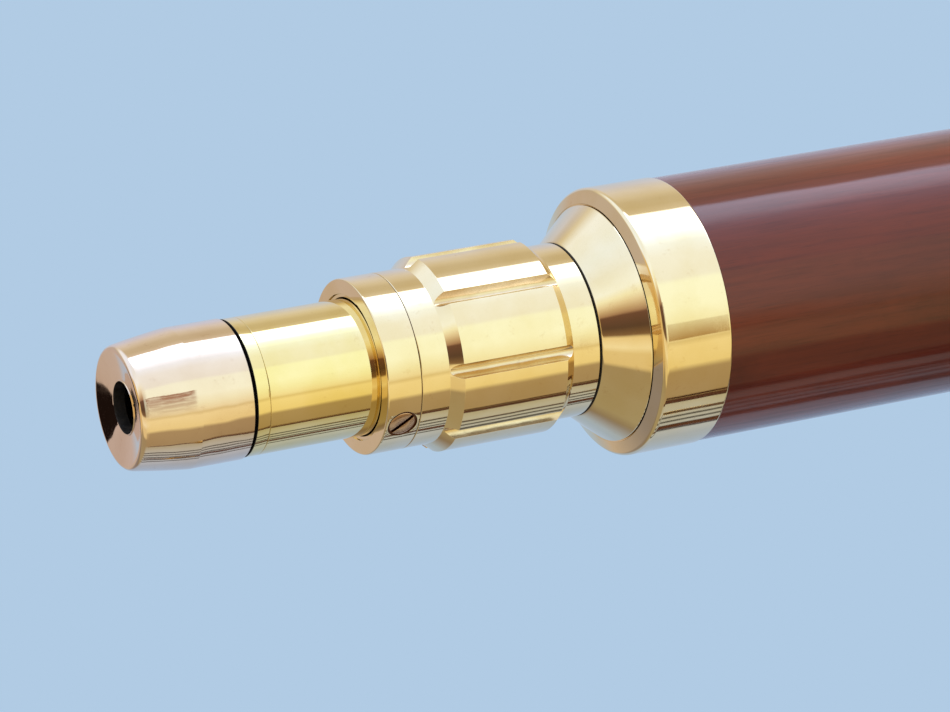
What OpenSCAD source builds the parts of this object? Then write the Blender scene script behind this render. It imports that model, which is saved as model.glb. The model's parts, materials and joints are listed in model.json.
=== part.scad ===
// Antique style telescope on a floor tripod with adjustable wooden legs.
// +Z is up and the origin is on the floor, on the tripod's axis. The tube points along +X and
// tilts up at its objective end. Tube parts are drawn along +Z from the eyepiece's end face,
// with local +X turned downwards, and on_tube() lays them on the mount.
// Leg parts are drawn down -Z from their hinge, with +X away from the tripod's axis.

/* [Stance] */
// Height of the tilt axis above the floor
pivot_height = 1175; // [1000:5:1400]
// Tilt of the tube at rest, objective end up, in degrees
tube_pitch = 9.3; // [0:0.1:20]
// Angle of each leg from the vertical, in degrees
leg_splay = 16; // [12:0.5:18]

/* [Eyepiece cap] */
// How far the cap stands proud of the draw tube
cap_proud = 0.3; // [0:0.1:2]
// Drop of the cap's radius along its taper
cap_taper_drop = 1.75; // [1:0.05:2]
// Width of the bevel between the taper and the dished end
cap_bevel = 1.1; // [0.8:0.05:1.4]
// Length of the cap
cap_len = 26; // [22:0.5:32]
// Length of the cap's tapered front
cap_taper_len = 13.6; // [8:0.2:16]
// Diameter of the eye hole
eye_hole_d = 11.6; // [8:0.2:14]
// Depth of the conical dish
dish_depth = 1.4; // [0.8:0.1:2]
// Thickness of metal behind the dish
cap_plate = 2.6; // [2:0.1:4]
// Dark gap between the cap and the ring behind it
cap_gap = 0.7; // [0.4:0.1:1.2]

/* [Draw tube] */
// Outer diameter of the draw tube
draw_d = 31; // [28:0.1:34]
// Wall of the draw tube
draw_wall = 1.2; // [1:0.1:1.6]
// Length of the whole draw tube
draw_len = 200; // [150:5:240]
// Length of draw tube that shows at rest
draw_out = 26; // [22:1:40]
// Length of the ring that closes the draw tube
ring_len = 3.1; // [2:0.1:5]
// Wall of the ring's threaded neck
neck_wall = 2; // [1.6:0.1:2.2]
// Length of the ring's spigot inside the draw tube
ring_spigot = 7; // [5:0.5:10]
// How far the flange at the draw tube's inner end stands out past the tube
erector_flange_h = 1.5; // [1:0.1:1.7]
// Thickness of that flange
erector_flange_t = 3; // [2:0.5:5]
// Length of the erector lens cell
erector_len = 16; // [12:1:22]

/* [Focus collar] */
// Wall of the sleeve's end bands, which are as thick as the clamp collar
collar_wall = 2.5; // [2:0.1:3.5]
// Length of the clamp collar
collar_len = 8.4; // [7.6:0.1:10]
// Length of the clamp collar's spigot
collar_spigot = 6; // [4:0.5:8]
// Head diameter of the slotted screws
screw_head_d = 6.3; // [5:0.1:6.6]
// Shank diameter of the slotted screws
screw_shank_d = 3; // [2.5:0.1:3.4]
// Width of the screw slots
screw_slot_w = 0.9; // [0.6:0.1:1]
// Depth of the screw slots
screw_slot_depth = 0.8; // [0.5:0.1:1]
// Wall of the leather bush that guides the draw tube
bush_wall = 1.95; // [1.8:0.05:2.5]
// How far the guide bush reaches into the cone behind the sleeve
bush_lap = 2.7; // [0:0.1:8]

/* [Fluted sleeve] */
// Length of the fluted sleeve
sleeve_len = 44.3; // [42:0.1:56]
// Length of each plain end band
sleeve_band = 6.8; // [6:0.1:8]
// Length of each bevel up to the lands
sleeve_bevel = 2.6; // [2:0.1:3]
// Height of the lands above the end bands
land_h = 2.2; // [1.6:0.1:3]
// Number of V grooves
flute_count = 8; // [6:1:12]
// Width of a V groove at the lands
flute_w = 3; // [2:0.1:4]
// Angle of the first groove above the horizontal, in degrees
flute_start = 35; // [0:1:45]

/* [Rear collar] */
// Length of the flaring cone
cone_len = 9.3; // [7:0.1:12]
// Step from the barrel's surface in to the cone's large end
cone_step = 3.5; // [2.5:0.1:4]
// How far the collar stands proud of the barrel
ferrule_proud = 0.25; // [0.1:0.05:1]
// How far the lip stands proud of the collar
lip_proud = 0.25; // [0.1:0.05:1]
// Length of the collar
ferrule_len = 18.2; // [16:0.1:24]
// Rise of the collar's bevelled front face
face_rise = 1.5; // [1:0.1:2.5]
// Length of the lip
lip_len = 1; // [0.6:0.1:2]

/* [Barrel] */
// Diameter of the wooden barrel
wood_d = 61.6; // [61:0.1:61.8]
// Length of wood that shows
wood_len = 474; // [380:1:560]
// Wall of the wooden barrel
wood_wall = 3.8; // [3.4:0.1:4.2]
// Step from the barrel down to its tenons
tenon_step = 2; // [1.5:0.1:2.4]
// Length of each tenon
tenon_len = 14; // [10:0.5:14]
// Wall of the lining tube
liner_wall = 0.8; // [0.6:0.1:1.2]

/* [Objective end] */
// Step from the barrel's surface in to the front tube
front_step = 0.8; // [0.5:0.1:1.4]
// Wall of the front tube
front_wall = 2; // [1.6:0.1:2.4]
// Length of the front tube ahead of its collar
front_tube_len = 72; // [66:1:90]
// Length of the objective cell
cell_len = 26; // [22:1:32]
// Wall of the objective cell round its lenses
cell_wall = 2; // [1.6:0.1:2.4]
// Width of the seats that hold the lenses
lens_seat = 2; // [1.5:0.1:2.5]
// Edge thickness of the crown lens
crown_edge = 3; // [2.4:0.1:3.6]
// Edge thickness of the flint lens
flint_edge = 6; // [5.5:0.1:7]
// Depth of the curve that the two lenses share
glue_sag = 3.8; // [2:0.1:4]
// Depth of the crown lens's front curve
crown_sag = 2.3; // [1:0.1:3]
// Length of the sunshade
shade_len = 108; // [100:1:130]
// Wall of the sunshade
shade_wall = 1.8; // [1.6:0.1:2.4]
// Gap from the front collar to the sunshade when it is pushed back
shade_gap = 12; // [6:1:20]
// Thickness of the dust cap's flange
dust_flange = 3; // [2.5:0.1:4]
// Length of the dust cap's plug
dust_plug = 10; // [8:0.5:14]

/* [Barrel band and yoke] */
// Width of the band round the barrel
band_w = 26; // [22:1:32]
// Thickness of the band
band_t = 3; // [2.6:0.1:4]
// Diameter of the trunnions
trunnion_d = 10; // [8:0.5:12]
// Thickness of the friction washers
washer_t = 2; // [1.5:0.1:3]
// Thickness of the yoke
yoke_t = 8; // [7:0.5:10]
// Width of the yoke
yoke_w = 24; // [20:1:28]
// Straight length of each yoke arm below the tilt axis
yoke_drop = 36; // [34:1:44]
// Diameter of the spindle that the yoke turns on
spindle_d = 20; // [18:0.5:22]
// Diameter of the two tilt knobs
tilt_knob_d = 30; // [24:1:34]
// Length of the two tilt knobs
tilt_knob_len = 16; // [14:1:20]

/* [Tripod head] */
// Diameter of the head's flange
head_d = 76; // [72:1:84]
// Diameter of the head's body, where the legs stop
head_body_d = 60; // [58:1:62]
// Height of the head
head_h = 62; // [60:1:70]
// Distance of each leg's hinge from the axis
hinge_r = 50; // [49:0.5:54]
// Drop of the hinges below the head's top
hinge_drop = 36; // [34:0.5:38]
// Diameter of the hinge bolts
hinge_d = 8; // [7:0.5:9]
// Thickness of each hinge lug
lug_t = 6; // [5:0.5:8]

/* [Legs] */
// Gap between the two slats of a leg
slat_gap = 16; // [14:0.5:18]
// Thickness of a slat
slat_t = 9; // [8:0.5:11]
// Width of a slat
slat_w = 24; // [22:0.5:26]
// Length of a slat
slat_len = 596; // [520:1:620]
// Distance from the hinge to the slats
slat_start = 24; // [22:1:30]
// Length of lower leg held between the slats at rest
leg_overlap = 290; // [265:1:320]
// Wall of the brass clamp
clamp_wall = 3; // [2.5:0.5:4]
// Height of the brass clamp
clamp_h = 44; // [40:1:56]
// Length of the brass ferrule on each foot
foot_len = 55; // [45:1:65]
// Diameter of the rubber foot
pad_d = 20; // [16:1:24]

/* [Hidden] */
$fn = 96;

// Fits
run_gap = 0.05;      // radial clearance of a turning or sliding round fit
side_gap = 0.2;      // between flat faces that move past each other
slide_gap = 0.3;     // round the square lower legs
eps = 0.5;           // how far a cutter stands past the face it cuts

// Places along the tube, from the eyepiece's end face
t_ring = cap_len + cap_gap;
t_draw = t_ring + ring_len;
t_draw_end = t_draw + draw_len;
t_collar = t_draw + draw_out;
t_sleeve = t_collar + collar_len;
t_cone = t_sleeve + sleeve_len;
t_ferrule = t_cone + cone_len;
t_wood = t_ferrule + ferrule_len;
t_wood_end = t_wood + wood_len;
t_front_tube = t_wood_end + ferrule_len;
t_front_end = t_front_tube + front_tube_len;
t_shade = t_front_tube + shade_gap;
t_shade_end = t_shade + shade_len;
knob_stem = 3;
knob_ball_r = 5.5;
knob_neck_r = 3.3;
dust_dome = 2;
t_tip = t_shade_end + dust_flange + dust_dome + knob_stem + 2 * knob_ball_r;
t_pivot = t_tip / 2;

// Radii on the tube
neck_step = 0.75;
collar_gap = 0.3;
draw_r = draw_d / 2;
draw_bore_r = draw_r - draw_wall;
neck_r = draw_bore_r - neck_step;
neck_bore_r = neck_r - neck_wall;
cap_r = draw_r + cap_proud;
collar_bore_r = draw_r + collar_gap;
sleeve_bore_r = draw_r + run_gap + bush_wall;
collar_r = sleeve_bore_r + collar_wall;
land_r = collar_r + land_h;
wood_r = wood_d / 2;
cone_big_r = wood_r - cone_step;
ferrule_r = wood_r + ferrule_proud;
lip_r = ferrule_r + lip_proud;
front_tube_r = wood_r - front_step;
wood_bore_r = wood_r - wood_wall;
tenon_r = wood_r - tenon_step;
liner_bore_r = wood_bore_r - liner_wall;
front_bore_r = front_tube_r - front_wall;
lens_r = front_bore_r - cell_wall;
shade_bore_r = front_tube_r + run_gap;
shade_r = shade_bore_r + shade_wall;
band_r = wood_r + band_t;
boss_h = 2.2;
trunnion_r = trunnion_d / 2;
yoke_r = band_r + boss_h + washer_t + side_gap;
yoke_out = yoke_r + yoke_t;
neck_len = 18;

// Heights on the mount
yoke_flange_h = 5;
yoke_boss_h = 6;
lock_rise = 22;
clamp_lap = 24;
clamp_screw_drop = 10;
foot_reach = 37;
lower_inset = 1;
yoke_bottom = pivot_height - yoke_drop - yoke_out - yoke_boss_h - yoke_flange_h;
head_top = yoke_bottom - side_gap;
head_bottom = head_top - head_h;
hinge_z = head_top - hinge_drop;
lock_z = head_bottom + lock_rise;
leg_len = hinge_z / cos(leg_splay);
slat_end = slat_start + slat_len;
clamp_top = slat_end - clamp_lap;
clamp_bottom = clamp_top + clamp_h;
clamp_screw_z = slat_end + clamp_screw_drop;
lower_w = slat_w - 2 * slide_gap - 2 * lower_inset;
lower_t = slat_gap - 2 * slide_gap;
lower_top = slat_end - leg_overlap;
lower_end = leg_len - foot_reach;
spindle_r = spindle_d / 2;
hinge_bolt_r = hinge_d / 2;
lug_r = 12;
tongue_r = 11;

BRASS = "#c9a24a";
ROSE = "#b9827a";
WOOD = "#7a4030";
BLACK = "#26221f";
GLASS = "#bcd3dc";
RUBBER = "#1c1c1c";
LEATHER = "#4b2d1c";

// ---- helpers ----

// lays a part drawn along +Z on the tilted tube
module on_tube()
    translate([0, 0, pivot_height]) rotate([0, 90 - tube_pitch, 0]) translate([0, 0, -t_pivot])
        children();

// puts a part at the tilt axis, upright
module at_pivot()
    translate([0, 0, pivot_height]) children();

// puts a part at the hinge of one leg, upright
module at_hinge(leg)
    rotate([0, 0, 120 * (leg - 1)]) translate([hinge_r, 0, hinge_z]) children();

// lays a part drawn down -Z along one splayed leg
module on_leg(leg)
    at_hinge(leg) rotate([0, -leg_splay, 0]) children();

// a turned part, from an outline of [radius, distance along] points
module turned(outline)
    rotate_extrude() polygon(outline);

// a plain tube from one distance along to another
module tube(outer_r, bore_r, from, to)
    turned([[bore_r, from], [outer_r, from], [outer_r, to], [bore_r, to]]);

// a tube with its two outer edges broken
module eased_tube(outer_r, bore_r, from, to, edge)
    turned([[bore_r, from], [outer_r - edge, from], [outer_r, from + edge],
            [outer_r, to - edge], [outer_r - edge, to], [bore_r, to]]);

// a cylinder along Y, centred on y = 0
module cross_pin(r, len)
    rotate([90, 0, 0]) cylinder(r = r, h = len, center = true);

// a fluted knob along +Z, with a blind bore in its near face if bore_r is given
module fluted_knob(r, len, flutes, bore_r = 0, bore_len = 0) {
    edge = 0.8;
    crown = 3;
    flute_r = 0.16 * r;
    flute_out = 0.35 * flute_r;
    difference() {
        turned([[0, 0], [r - edge, 0], [r, edge], [r, len - crown], [r - crown, len], [0, len]]);
        for (i = [0 : flutes - 1]) rotate([0, 0, i * 360 / flutes])
            translate([r + flute_out, 0, -eps]) cylinder(r = flute_r, h = len + 2 * eps);
        if (bore_r > 0) translate([0, 0, -eps]) cylinder(r = bore_r, h = bore_len + eps);
    }
}

// ---- eyepiece and draw tube ----

edge_break = 0.3;
cap_bore_r = neck_r + run_gap;
cap_front_r = cap_r - cap_taper_drop;
cap_edge = 1.2;
shoulder = 1;

module eyepiece_cap() color(ROSE) on_tube()
    turned([[eye_hole_d / 2, dish_depth], [cap_front_r - cap_bevel, 0],
            [cap_front_r - edge_break, cap_edge / 3], [cap_front_r, cap_edge],
            [cap_r, cap_taper_len], [cap_r, cap_len - edge_break],
            [cap_r - edge_break, cap_len], [cap_bore_r, cap_len],
            [cap_bore_r, dish_depth + cap_plate + shoulder],
            [eye_hole_d / 2 + shoulder, dish_depth + cap_plate],
            [eye_hole_d / 2, dish_depth + cap_plate]]);

module eyepiece_ring() color(BRASS) on_tube()
    turned([[neck_bore_r, t_ring - neck_len], [neck_r, t_ring - neck_len], [neck_r, t_ring],
            [draw_r - edge_break, t_ring], [draw_r, t_ring + edge_break],
            [draw_r, t_draw - edge_break], [draw_r - edge_break, t_draw],
            [draw_bore_r, t_draw], [draw_bore_r, t_draw + ring_spigot],
            [neck_bore_r, t_draw + ring_spigot]]);

eye_lens_edge = 2;
eye_lens_sag = 2.7;
field_lens_sag = 2.2;

// radius of the ball that bulges by sag across a lens of radius r
function ball_radius(r, sag) = (r * r + sag * sag) / (2 * sag);

// plano-convex lens with its flat face at z = 0 and a ball-ground face above its edge
module convex_lens(r, edge, sag) {
    ball_r = ball_radius(r, sag);
    intersection() {
        cylinder(r = r, h = edge + sag);
        translate([0, 0, edge + sag - ball_r]) sphere(r = ball_r);
    }
}

module eye_lens() color(GLASS) on_tube()
    translate([0, 0, t_ring - neck_len + shoulder])
        convex_lens(neck_bore_r, eye_lens_edge, eye_lens_sag);

module field_lens() color(GLASS) on_tube()
    translate([0, 0, t_draw]) convex_lens(neck_bore_r, eye_lens_edge, field_lens_sag);

module draw_tube() color(BRASS) on_tube()
    eased_tube(draw_r, draw_bore_r, t_draw, t_draw_end, edge_break);

// screws into the draw tube's inner end, and its flange stops the tube pulling out
module erector_cell() color(BLACK) on_tube()
    turned([[neck_bore_r, t_draw_end - erector_len], [draw_bore_r, t_draw_end - erector_len],
            [draw_bore_r, t_draw_end], [draw_r + erector_flange_h, t_draw_end],
            [draw_r + erector_flange_h, t_draw_end + erector_flange_t],
            [neck_bore_r, t_draw_end + erector_flange_t]]);

module erector_lens() color(GLASS) on_tube()
    translate([0, 0, t_draw_end - erector_len + shoulder])
        convex_lens(neck_bore_r, eye_lens_edge, field_lens_sag);

// ---- focus collar, fluted sleeve and rear collar ----

screw_t = t_collar + collar_len / 2;
screw_count = 2;
first_screw = 42.5;       // angle of the first screw below the horizontal, in degrees
screw_top = collar_r - 0.25;
screw_sink = 1.7;
screw_tip_gap = 0.4;
screw_neck = screw_top - screw_sink;
spot_r = screw_head_d / 2 + 0.4;
spot_depth = 0.2;
slot_turn = 62;

// children point outwards along +Z from the collar's axis, at each screw
module at_screws()
    for (i = [0 : screw_count - 1])
        translate([0, 0, screw_t]) rotate([0, 0, first_screw - 90 + i * 360 / screw_count])
            rotate([0, 90, 0]) children();

// a countersunk screw whose tip is at from
module screw_blank(from)
    turned([[0, from], [screw_shank_d / 2, from], [screw_shank_d / 2, screw_neck],
            [screw_head_d / 2, screw_top], [0, screw_top]]);

module clamp_collar() color(BRASS) on_tube()
    difference() {
        union() {
            eased_tube(collar_r, collar_bore_r, t_collar, t_sleeve, edge_break);
            tube(sleeve_bore_r, collar_bore_r, t_sleeve - eps, t_sleeve + collar_spigot);
        }
        at_screws() screw_blank(collar_bore_r - eps);
        at_screws() translate([0, 0, screw_top - spot_depth])
            cylinder(r = spot_r, h = collar_r - screw_top + spot_depth + eps);
    }

module clamp_screws() color(BRASS) on_tube()
    at_screws() difference() {
        screw_blank(collar_bore_r + screw_tip_gap);
        translate([0, 0, screw_top]) rotate([0, 0, slot_turn])
            cube([screw_head_d + 1, screw_slot_w, 2 * screw_slot_depth], center = true);
    }

module guide_bush() color(LEATHER) on_tube()
    tube(sleeve_bore_r, draw_r + run_gap, t_sleeve + collar_spigot, t_cone + bush_lap);

// the V cutter, which is flute_w wide at the lands and flute_reach high
flute_root_r = collar_r + 0.1;
flute_reach = land_r + eps;
flute_half = flute_w / 2 * (flute_reach - flute_root_r) / (land_r - flute_root_r);
grub_r = 1.2;
grub_sink = 0.6;
grub_t = t_cone - sleeve_band / 2;
grub_angle = 80;

module grub_place()
    translate([0, 0, grub_t]) rotate([0, 0, -90 - grub_angle]) rotate([0, 90, 0]) children();

module focusing_sleeve() color(BRASS) on_tube()
    difference() {
        turned([[sleeve_bore_r, t_sleeve], [collar_r - edge_break, t_sleeve],
                [collar_r, t_sleeve + edge_break], [collar_r, t_sleeve + sleeve_band],
                [land_r, t_sleeve + sleeve_band + sleeve_bevel],
                [land_r, t_cone - sleeve_band - sleeve_bevel],
                [collar_r, t_cone - sleeve_band], [collar_r, t_cone - edge_break],
                [collar_r - edge_break, t_cone], [sleeve_bore_r, t_cone]]);
        for (i = [0 : flute_count - 1])
            translate([0, 0, t_sleeve + sleeve_band / 2])
                rotate([0, 0, -90 - flute_start + i * 360 / flute_count])
                    linear_extrude(sleeve_len - sleeve_band)
                        polygon([[flute_root_r, 0], [flute_reach, -flute_half],
                                 [flute_reach, flute_half]]);
        grub_place() translate([0, 0, sleeve_bore_r - eps])
            cylinder(r = grub_r, h = collar_r - sleeve_bore_r + 2 * eps);
    }

module sleeve_grub_screw() color(BLACK) on_tube()
    grub_place() translate([0, 0, sleeve_bore_r])
        cylinder(r = grub_r, h = collar_r - sleeve_bore_r - grub_sink);

cone_spigot_r = cone_big_r - 3.3;
cone_spigot = 4;

module cone_adapter() color(BRASS) on_tube()
    turned([[sleeve_bore_r, t_cone], [collar_r - edge_break, t_cone],
            [collar_r, t_cone + edge_break], [cone_big_r, t_ferrule - edge_break],
            [cone_big_r - edge_break, t_ferrule], [cone_spigot_r, t_ferrule],
            [cone_spigot_r, t_ferrule + cone_spigot], [sleeve_bore_r, t_ferrule + cone_spigot]]);

face_gap = 0.4;
lip_edge = 0.5;

// outline of a collar that grips one end of the wooden barrel, with its face at 0
function ferrule_outline(bore_r) = [
    [bore_r, 0], [cone_big_r + face_gap, 0],
    [lip_r - lip_edge, face_rise], [lip_r, face_rise + lip_edge],
    [lip_r, face_rise + lip_len], [ferrule_r, face_rise + lip_len + face_gap],
    [ferrule_r, ferrule_len - edge_break], [ferrule_r - edge_break, ferrule_len],
    [tenon_r, ferrule_len], [tenon_r, ferrule_len - tenon_len], [bore_r, ferrule_len - tenon_len]];

module rear_collar() color(BRASS) on_tube()
    translate([0, 0, t_ferrule]) turned(ferrule_outline(cone_spigot_r));

// ---- barrel ----

module wood_barrel() color(WOOD) on_tube()
    turned([[wood_bore_r, t_wood - tenon_len], [tenon_r, t_wood - tenon_len], [tenon_r, t_wood],
            [wood_r, t_wood], [wood_r, t_wood_end], [tenon_r, t_wood_end],
            [tenon_r, t_wood_end + tenon_len], [wood_bore_r, t_wood_end + tenon_len]]);

module barrel_liner() color(BLACK) on_tube()
    tube(wood_bore_r, liner_bore_r, t_wood - tenon_len, t_wood_end + tenon_len);

// ---- objective end ----

module front_sleeve() color(BRASS) on_tube() {
    translate([0, 0, t_front_tube]) mirror([0, 0, 1]) turned(ferrule_outline(front_bore_r));
    eased_tube(front_tube_r, front_bore_r, t_front_tube - eps, t_front_end, edge_break);
}

cell_flange = 3;
t_cell = t_front_end - cell_len;
lens_offset = 5;
t_lens = t_cell + lens_offset;
glue_ball = ball_radius(lens_r, glue_sag);
crown_ball = ball_radius(lens_r, crown_sag);
t_glue = t_lens + flint_edge;
t_crown = t_glue + crown_edge;
retainer_len = 4;
retainer_bore_r = lens_r - lens_seat / 2;
// the crown lens bulges into the retainer's bore, so the retainer sits that much higher
retainer_rise = sqrt(pow(crown_ball, 2) - pow(retainer_bore_r, 2))
    - sqrt(pow(crown_ball, 2) - pow(lens_r, 2));
t_retainer = t_crown + retainer_rise;

module objective_cell() color(BRASS) on_tube()
    turned([[lens_r - lens_seat, t_cell], [front_bore_r, t_cell], [front_bore_r, t_front_end],
            [front_tube_r - edge_break, t_front_end],
            [front_tube_r - edge_break, t_front_end + cell_flange - edge_break],
            [front_tube_r - 2 * edge_break, t_front_end + cell_flange],
            [lens_r, t_front_end + cell_flange], [lens_r, t_lens], [lens_r - lens_seat, t_lens]]);

// the ground ball that both lenses share, which passes through the rim at t_glue
module shared_ball()
    translate([0, 0, t_glue + glue_ball - glue_sag]) sphere(r = glue_ball);

module flint_lens() color(GLASS) on_tube()
    difference() {
        translate([0, 0, t_lens]) cylinder(r = lens_r, h = flint_edge);
        shared_ball();
    }

module crown_lens() color(GLASS) on_tube()
    intersection() {
        translate([0, 0, t_lens]) cylinder(r = lens_r, h = flint_edge + crown_edge + crown_sag);
        shared_ball();
        translate([0, 0, t_crown + crown_sag - crown_ball]) sphere(r = crown_ball);
    }

module objective_retainer() color(BLACK) on_tube()
    tube(lens_r, retainer_bore_r, t_retainer, t_retainer + retainer_len);

bead = 1.2;
bead_len = 5;

module sunshade() color(BRASS) on_tube()
    turned([[shade_bore_r, t_shade], [shade_r - edge_break, t_shade],
            [shade_r, t_shade + edge_break], [shade_r, t_shade_end - bead_len - bead],
            [shade_r + bead, t_shade_end - bead_len], [shade_r + bead, t_shade_end - bead],
            [shade_r, t_shade_end], [shade_bore_r, t_shade_end]]);

dust_r = shade_r + bead;
plug_wall = 1.4;
plug_r = shade_bore_r - run_gap;
t_dust = t_shade_end + side_gap;
t_dust_top = t_shade_end + dust_flange;

module dust_cap() color(BRASS) on_tube() {
    turned([[0, t_dust], [plug_r - plug_wall, t_dust],
            [plug_r - plug_wall, t_shade_end - dust_plug], [plug_r, t_shade_end - dust_plug],
            [plug_r, t_dust], [dust_r, t_dust],
            [dust_r, t_dust_top - shoulder], [dust_r - shoulder, t_dust_top],
            [knob_ball_r, t_dust_top + dust_dome],
            [knob_neck_r, t_dust_top + dust_dome + shoulder],
            [knob_neck_r, t_tip - knob_ball_r], [0, t_tip - knob_ball_r]]);
    translate([0, 0, t_tip - knob_ball_r]) sphere(r = knob_ball_r);
}

// ---- barrel band and its trunnions ----

band_split = 1;
band_edge = 0.6;
ear_t = 6;
ear_h = 9;
ear_root = 1;
ear_w = 16;
boss_r = trunnion_r + 6;
knob_end_wall = 4;
trunnion_end = yoke_out + side_gap + tilt_knob_len - knob_end_wall;
band_screw_d = 5;

// half of the band on the side of -Y
module band_half()
    translate([0, 0, t_pivot]) difference() {
        union() {
            eased_tube(band_r, wood_r, -band_w / 2, band_w / 2, band_edge);
            for (side = [-1, 1])
                translate([side * (band_r + ear_h / 2 - ear_root), -(ear_t + band_split) / 2, 0])
                    cube([ear_h + 2 * ear_root, ear_t, ear_w], center = true);
            translate([0, -band_r - boss_h, 0]) rotate([-90, 0, 0])
                cylinder(r = boss_r, h = boss_h + band_t);
            translate([0, -trunnion_end, 0]) rotate([-90, 0, 0])
                cylinder(r = trunnion_r, h = trunnion_end - band_r);
        }
        translate([0, 0, -band_w]) cylinder(r = wood_r, h = 2 * band_w);
        translate([-2 * band_r, -band_split / 2, -band_w]) cube([4 * band_r, 2 * band_r, 2 * band_w]);
        for (side = [-1, 1]) translate([side * (band_r + ear_h / 2), 0, 0])
            cross_pin(band_screw_d / 2, 4 * ear_t);
    }

module band_near() color(BRASS) on_tube() band_half();

module band_far() color(BRASS) on_tube() mirror([0, 1, 0]) band_half();

band_head_r = 4.5;
band_head_h = 3;
band_grip = 2 * ear_t + band_split;

module band_screws() color(BRASS) on_tube()
    for (side = [-1, 1]) translate([side * (band_r + ear_h / 2), 0, t_pivot]) {
        cross_pin(band_screw_d / 2, band_grip);
        for (end = [-1, 1]) translate([0, end * (band_grip + band_head_h) / 2, 0])
            cross_pin(band_head_r, band_head_h);
    }

washer_r = boss_r + 2;

module pivot_washers() color(LEATHER) at_pivot()
    for (side = [-1, 1]) translate([0, side * (band_r + boss_h + washer_t / 2), 0])
        difference() {
            cross_pin(washer_r, washer_t);
            cross_pin(trunnion_r, washer_t + 1);
        }

knob_flutes = 16;

module tilt_knob()
    translate([0, -yoke_out - side_gap, 0]) rotate([90, 0, 0])
        fluted_knob(tilt_knob_d / 2, tilt_knob_len, knob_flutes, trunnion_r + run_gap,
                    trunnion_end - yoke_out);

module tilt_knob_near() color(BRASS) at_pivot() tilt_knob();

module tilt_knob_far() color(BRASS) at_pivot() mirror([0, 1, 0]) tilt_knob();

// ---- yoke ----

eye_r = trunnion_r + 11;
yoke_flange_r = spindle_r + 14;
yoke_neck_r = spindle_r + 5;
yoke_blend = 3;
yoke_neck_h = yoke_flange_h + yoke_boss_h + yoke_t - 2;

module yoke() color(BRASS) at_pivot()
    difference() {
        union() {
            for (side = [-1, 1]) translate([0, side * (yoke_r + yoke_t / 2), 0]) {
                cross_pin(eye_r, yoke_t);
                translate([-yoke_w / 2, -yoke_t / 2, -yoke_drop])
                    cube([yoke_w, yoke_t, yoke_drop]);
            }
            translate([-yoke_w / 2, 0, -yoke_drop]) rotate([0, 90, 0]) difference() {
                cylinder(r = yoke_out, h = yoke_w);
                translate([0, 0, -eps]) cylinder(r = yoke_r, h = yoke_w + 1);
                translate([-yoke_out, 0, yoke_w / 2])
                    cube([2 * yoke_out, 2 * yoke_out + 1, yoke_w + 1], center = true);
            }
            translate([0, 0, yoke_bottom - pivot_height])
                turned([[0, 0], [yoke_flange_r, 0], [yoke_flange_r, yoke_flange_h],
                        [yoke_neck_r, yoke_flange_h + yoke_blend], [yoke_neck_r, yoke_neck_h],
                        [0, yoke_neck_h]]);
        }
        cross_pin(trunnion_r + run_gap, 2 * yoke_out + 1);
        translate([0, 0, yoke_bottom - pivot_height - eps])
            cylinder(r = spindle_r, h = yoke_flange_h + yoke_boss_h + eps);
    }

nut_h = 12;
nut_r = spindle_r + 7;
nut_stand = 2;
spindle_edge = 1;
spindle_end = head_bottom - nut_h - nut_stand;

module azimuth_spindle() color(BRASS)
    translate([0, 0, spindle_end])
        eased_tube(spindle_r, 0, 0, yoke_bottom + yoke_flange_h + yoke_boss_h - spindle_end,
                   spindle_edge);

module spindle_nut() color(BRASS)
    translate([0, 0, head_bottom - side_gap - nut_h]) difference() {
        cylinder(r = nut_r, h = nut_h, $fn = 6);
        translate([0, 0, -eps]) cylinder(r = spindle_r, h = nut_h + 1);
    }

// ---- tripod head ----

lock_angle = 180;
lock_shank_r = 3;
lock_knob_r = 10;
lock_knob_len = 16;
lock_stand = 2;
small_knob_flutes = 12;
head_flange_h = 8;
head_blend = 5;
head_foot = 3;
head_edge = 2;
lug_root = 8;
lug_from = head_body_d / 2 - lug_root;
lug_low = 14;

module lug_pair()
    for (side = [-1, 1])
        translate([0, side * (slat_gap / 2 + slide_gap + lug_t / 2), 0]) {
            cross_pin(lug_r, lug_t);
            translate([lug_from - hinge_r, -lug_t / 2, -lug_low])
                cube([hinge_r - lug_from, lug_t, lug_low + lug_r]);
        }

module tripod_head() color(BRASS)
    difference() {
        union() {
            translate([0, 0, head_bottom])
                turned([[0, 0], [head_body_d / 2 - head_foot, 0], [head_body_d / 2, head_foot],
                        [head_body_d / 2, head_h - head_flange_h - head_blend],
                        [head_d / 2, head_h - head_flange_h], [head_d / 2, head_h - head_edge],
                        [head_d / 2 - head_edge, head_h], [0, head_h]]);
            for (leg = [1 : 3]) at_hinge(leg) lug_pair();
        }
        translate([0, 0, head_bottom - eps]) cylinder(r = spindle_r + run_gap, h = head_h + 1);
        for (leg = [1 : 3]) at_hinge(leg) cross_pin(hinge_bolt_r, bolt_span + 2);
        translate([0, 0, lock_z]) rotate([0, 0, lock_angle]) rotate([0, 90, 0])
            cylinder(r = lock_shank_r + run_gap, h = head_d);
    }

module azimuth_lock_screw() color(BRASS)
    translate([0, 0, lock_z]) rotate([0, 0, lock_angle]) rotate([0, 90, 0]) {
        translate([0, 0, spindle_r + slide_gap])
            cylinder(r = lock_shank_r, h = head_body_d / 2 + lock_stand - spindle_r);
        translate([0, 0, head_body_d / 2 + lock_stand])
            fluted_knob(lock_knob_r, lock_knob_len, small_knob_flutes);
    }

bolt_span = slat_gap + 2 * slide_gap + 2 * lug_t;
bolt_head_h = 4;
bolt_head_rim = 3;
bolt_stand = 2;
nut_wing_h = 7;
wing_r = 6.5;
wing_t = 2.4;

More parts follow.
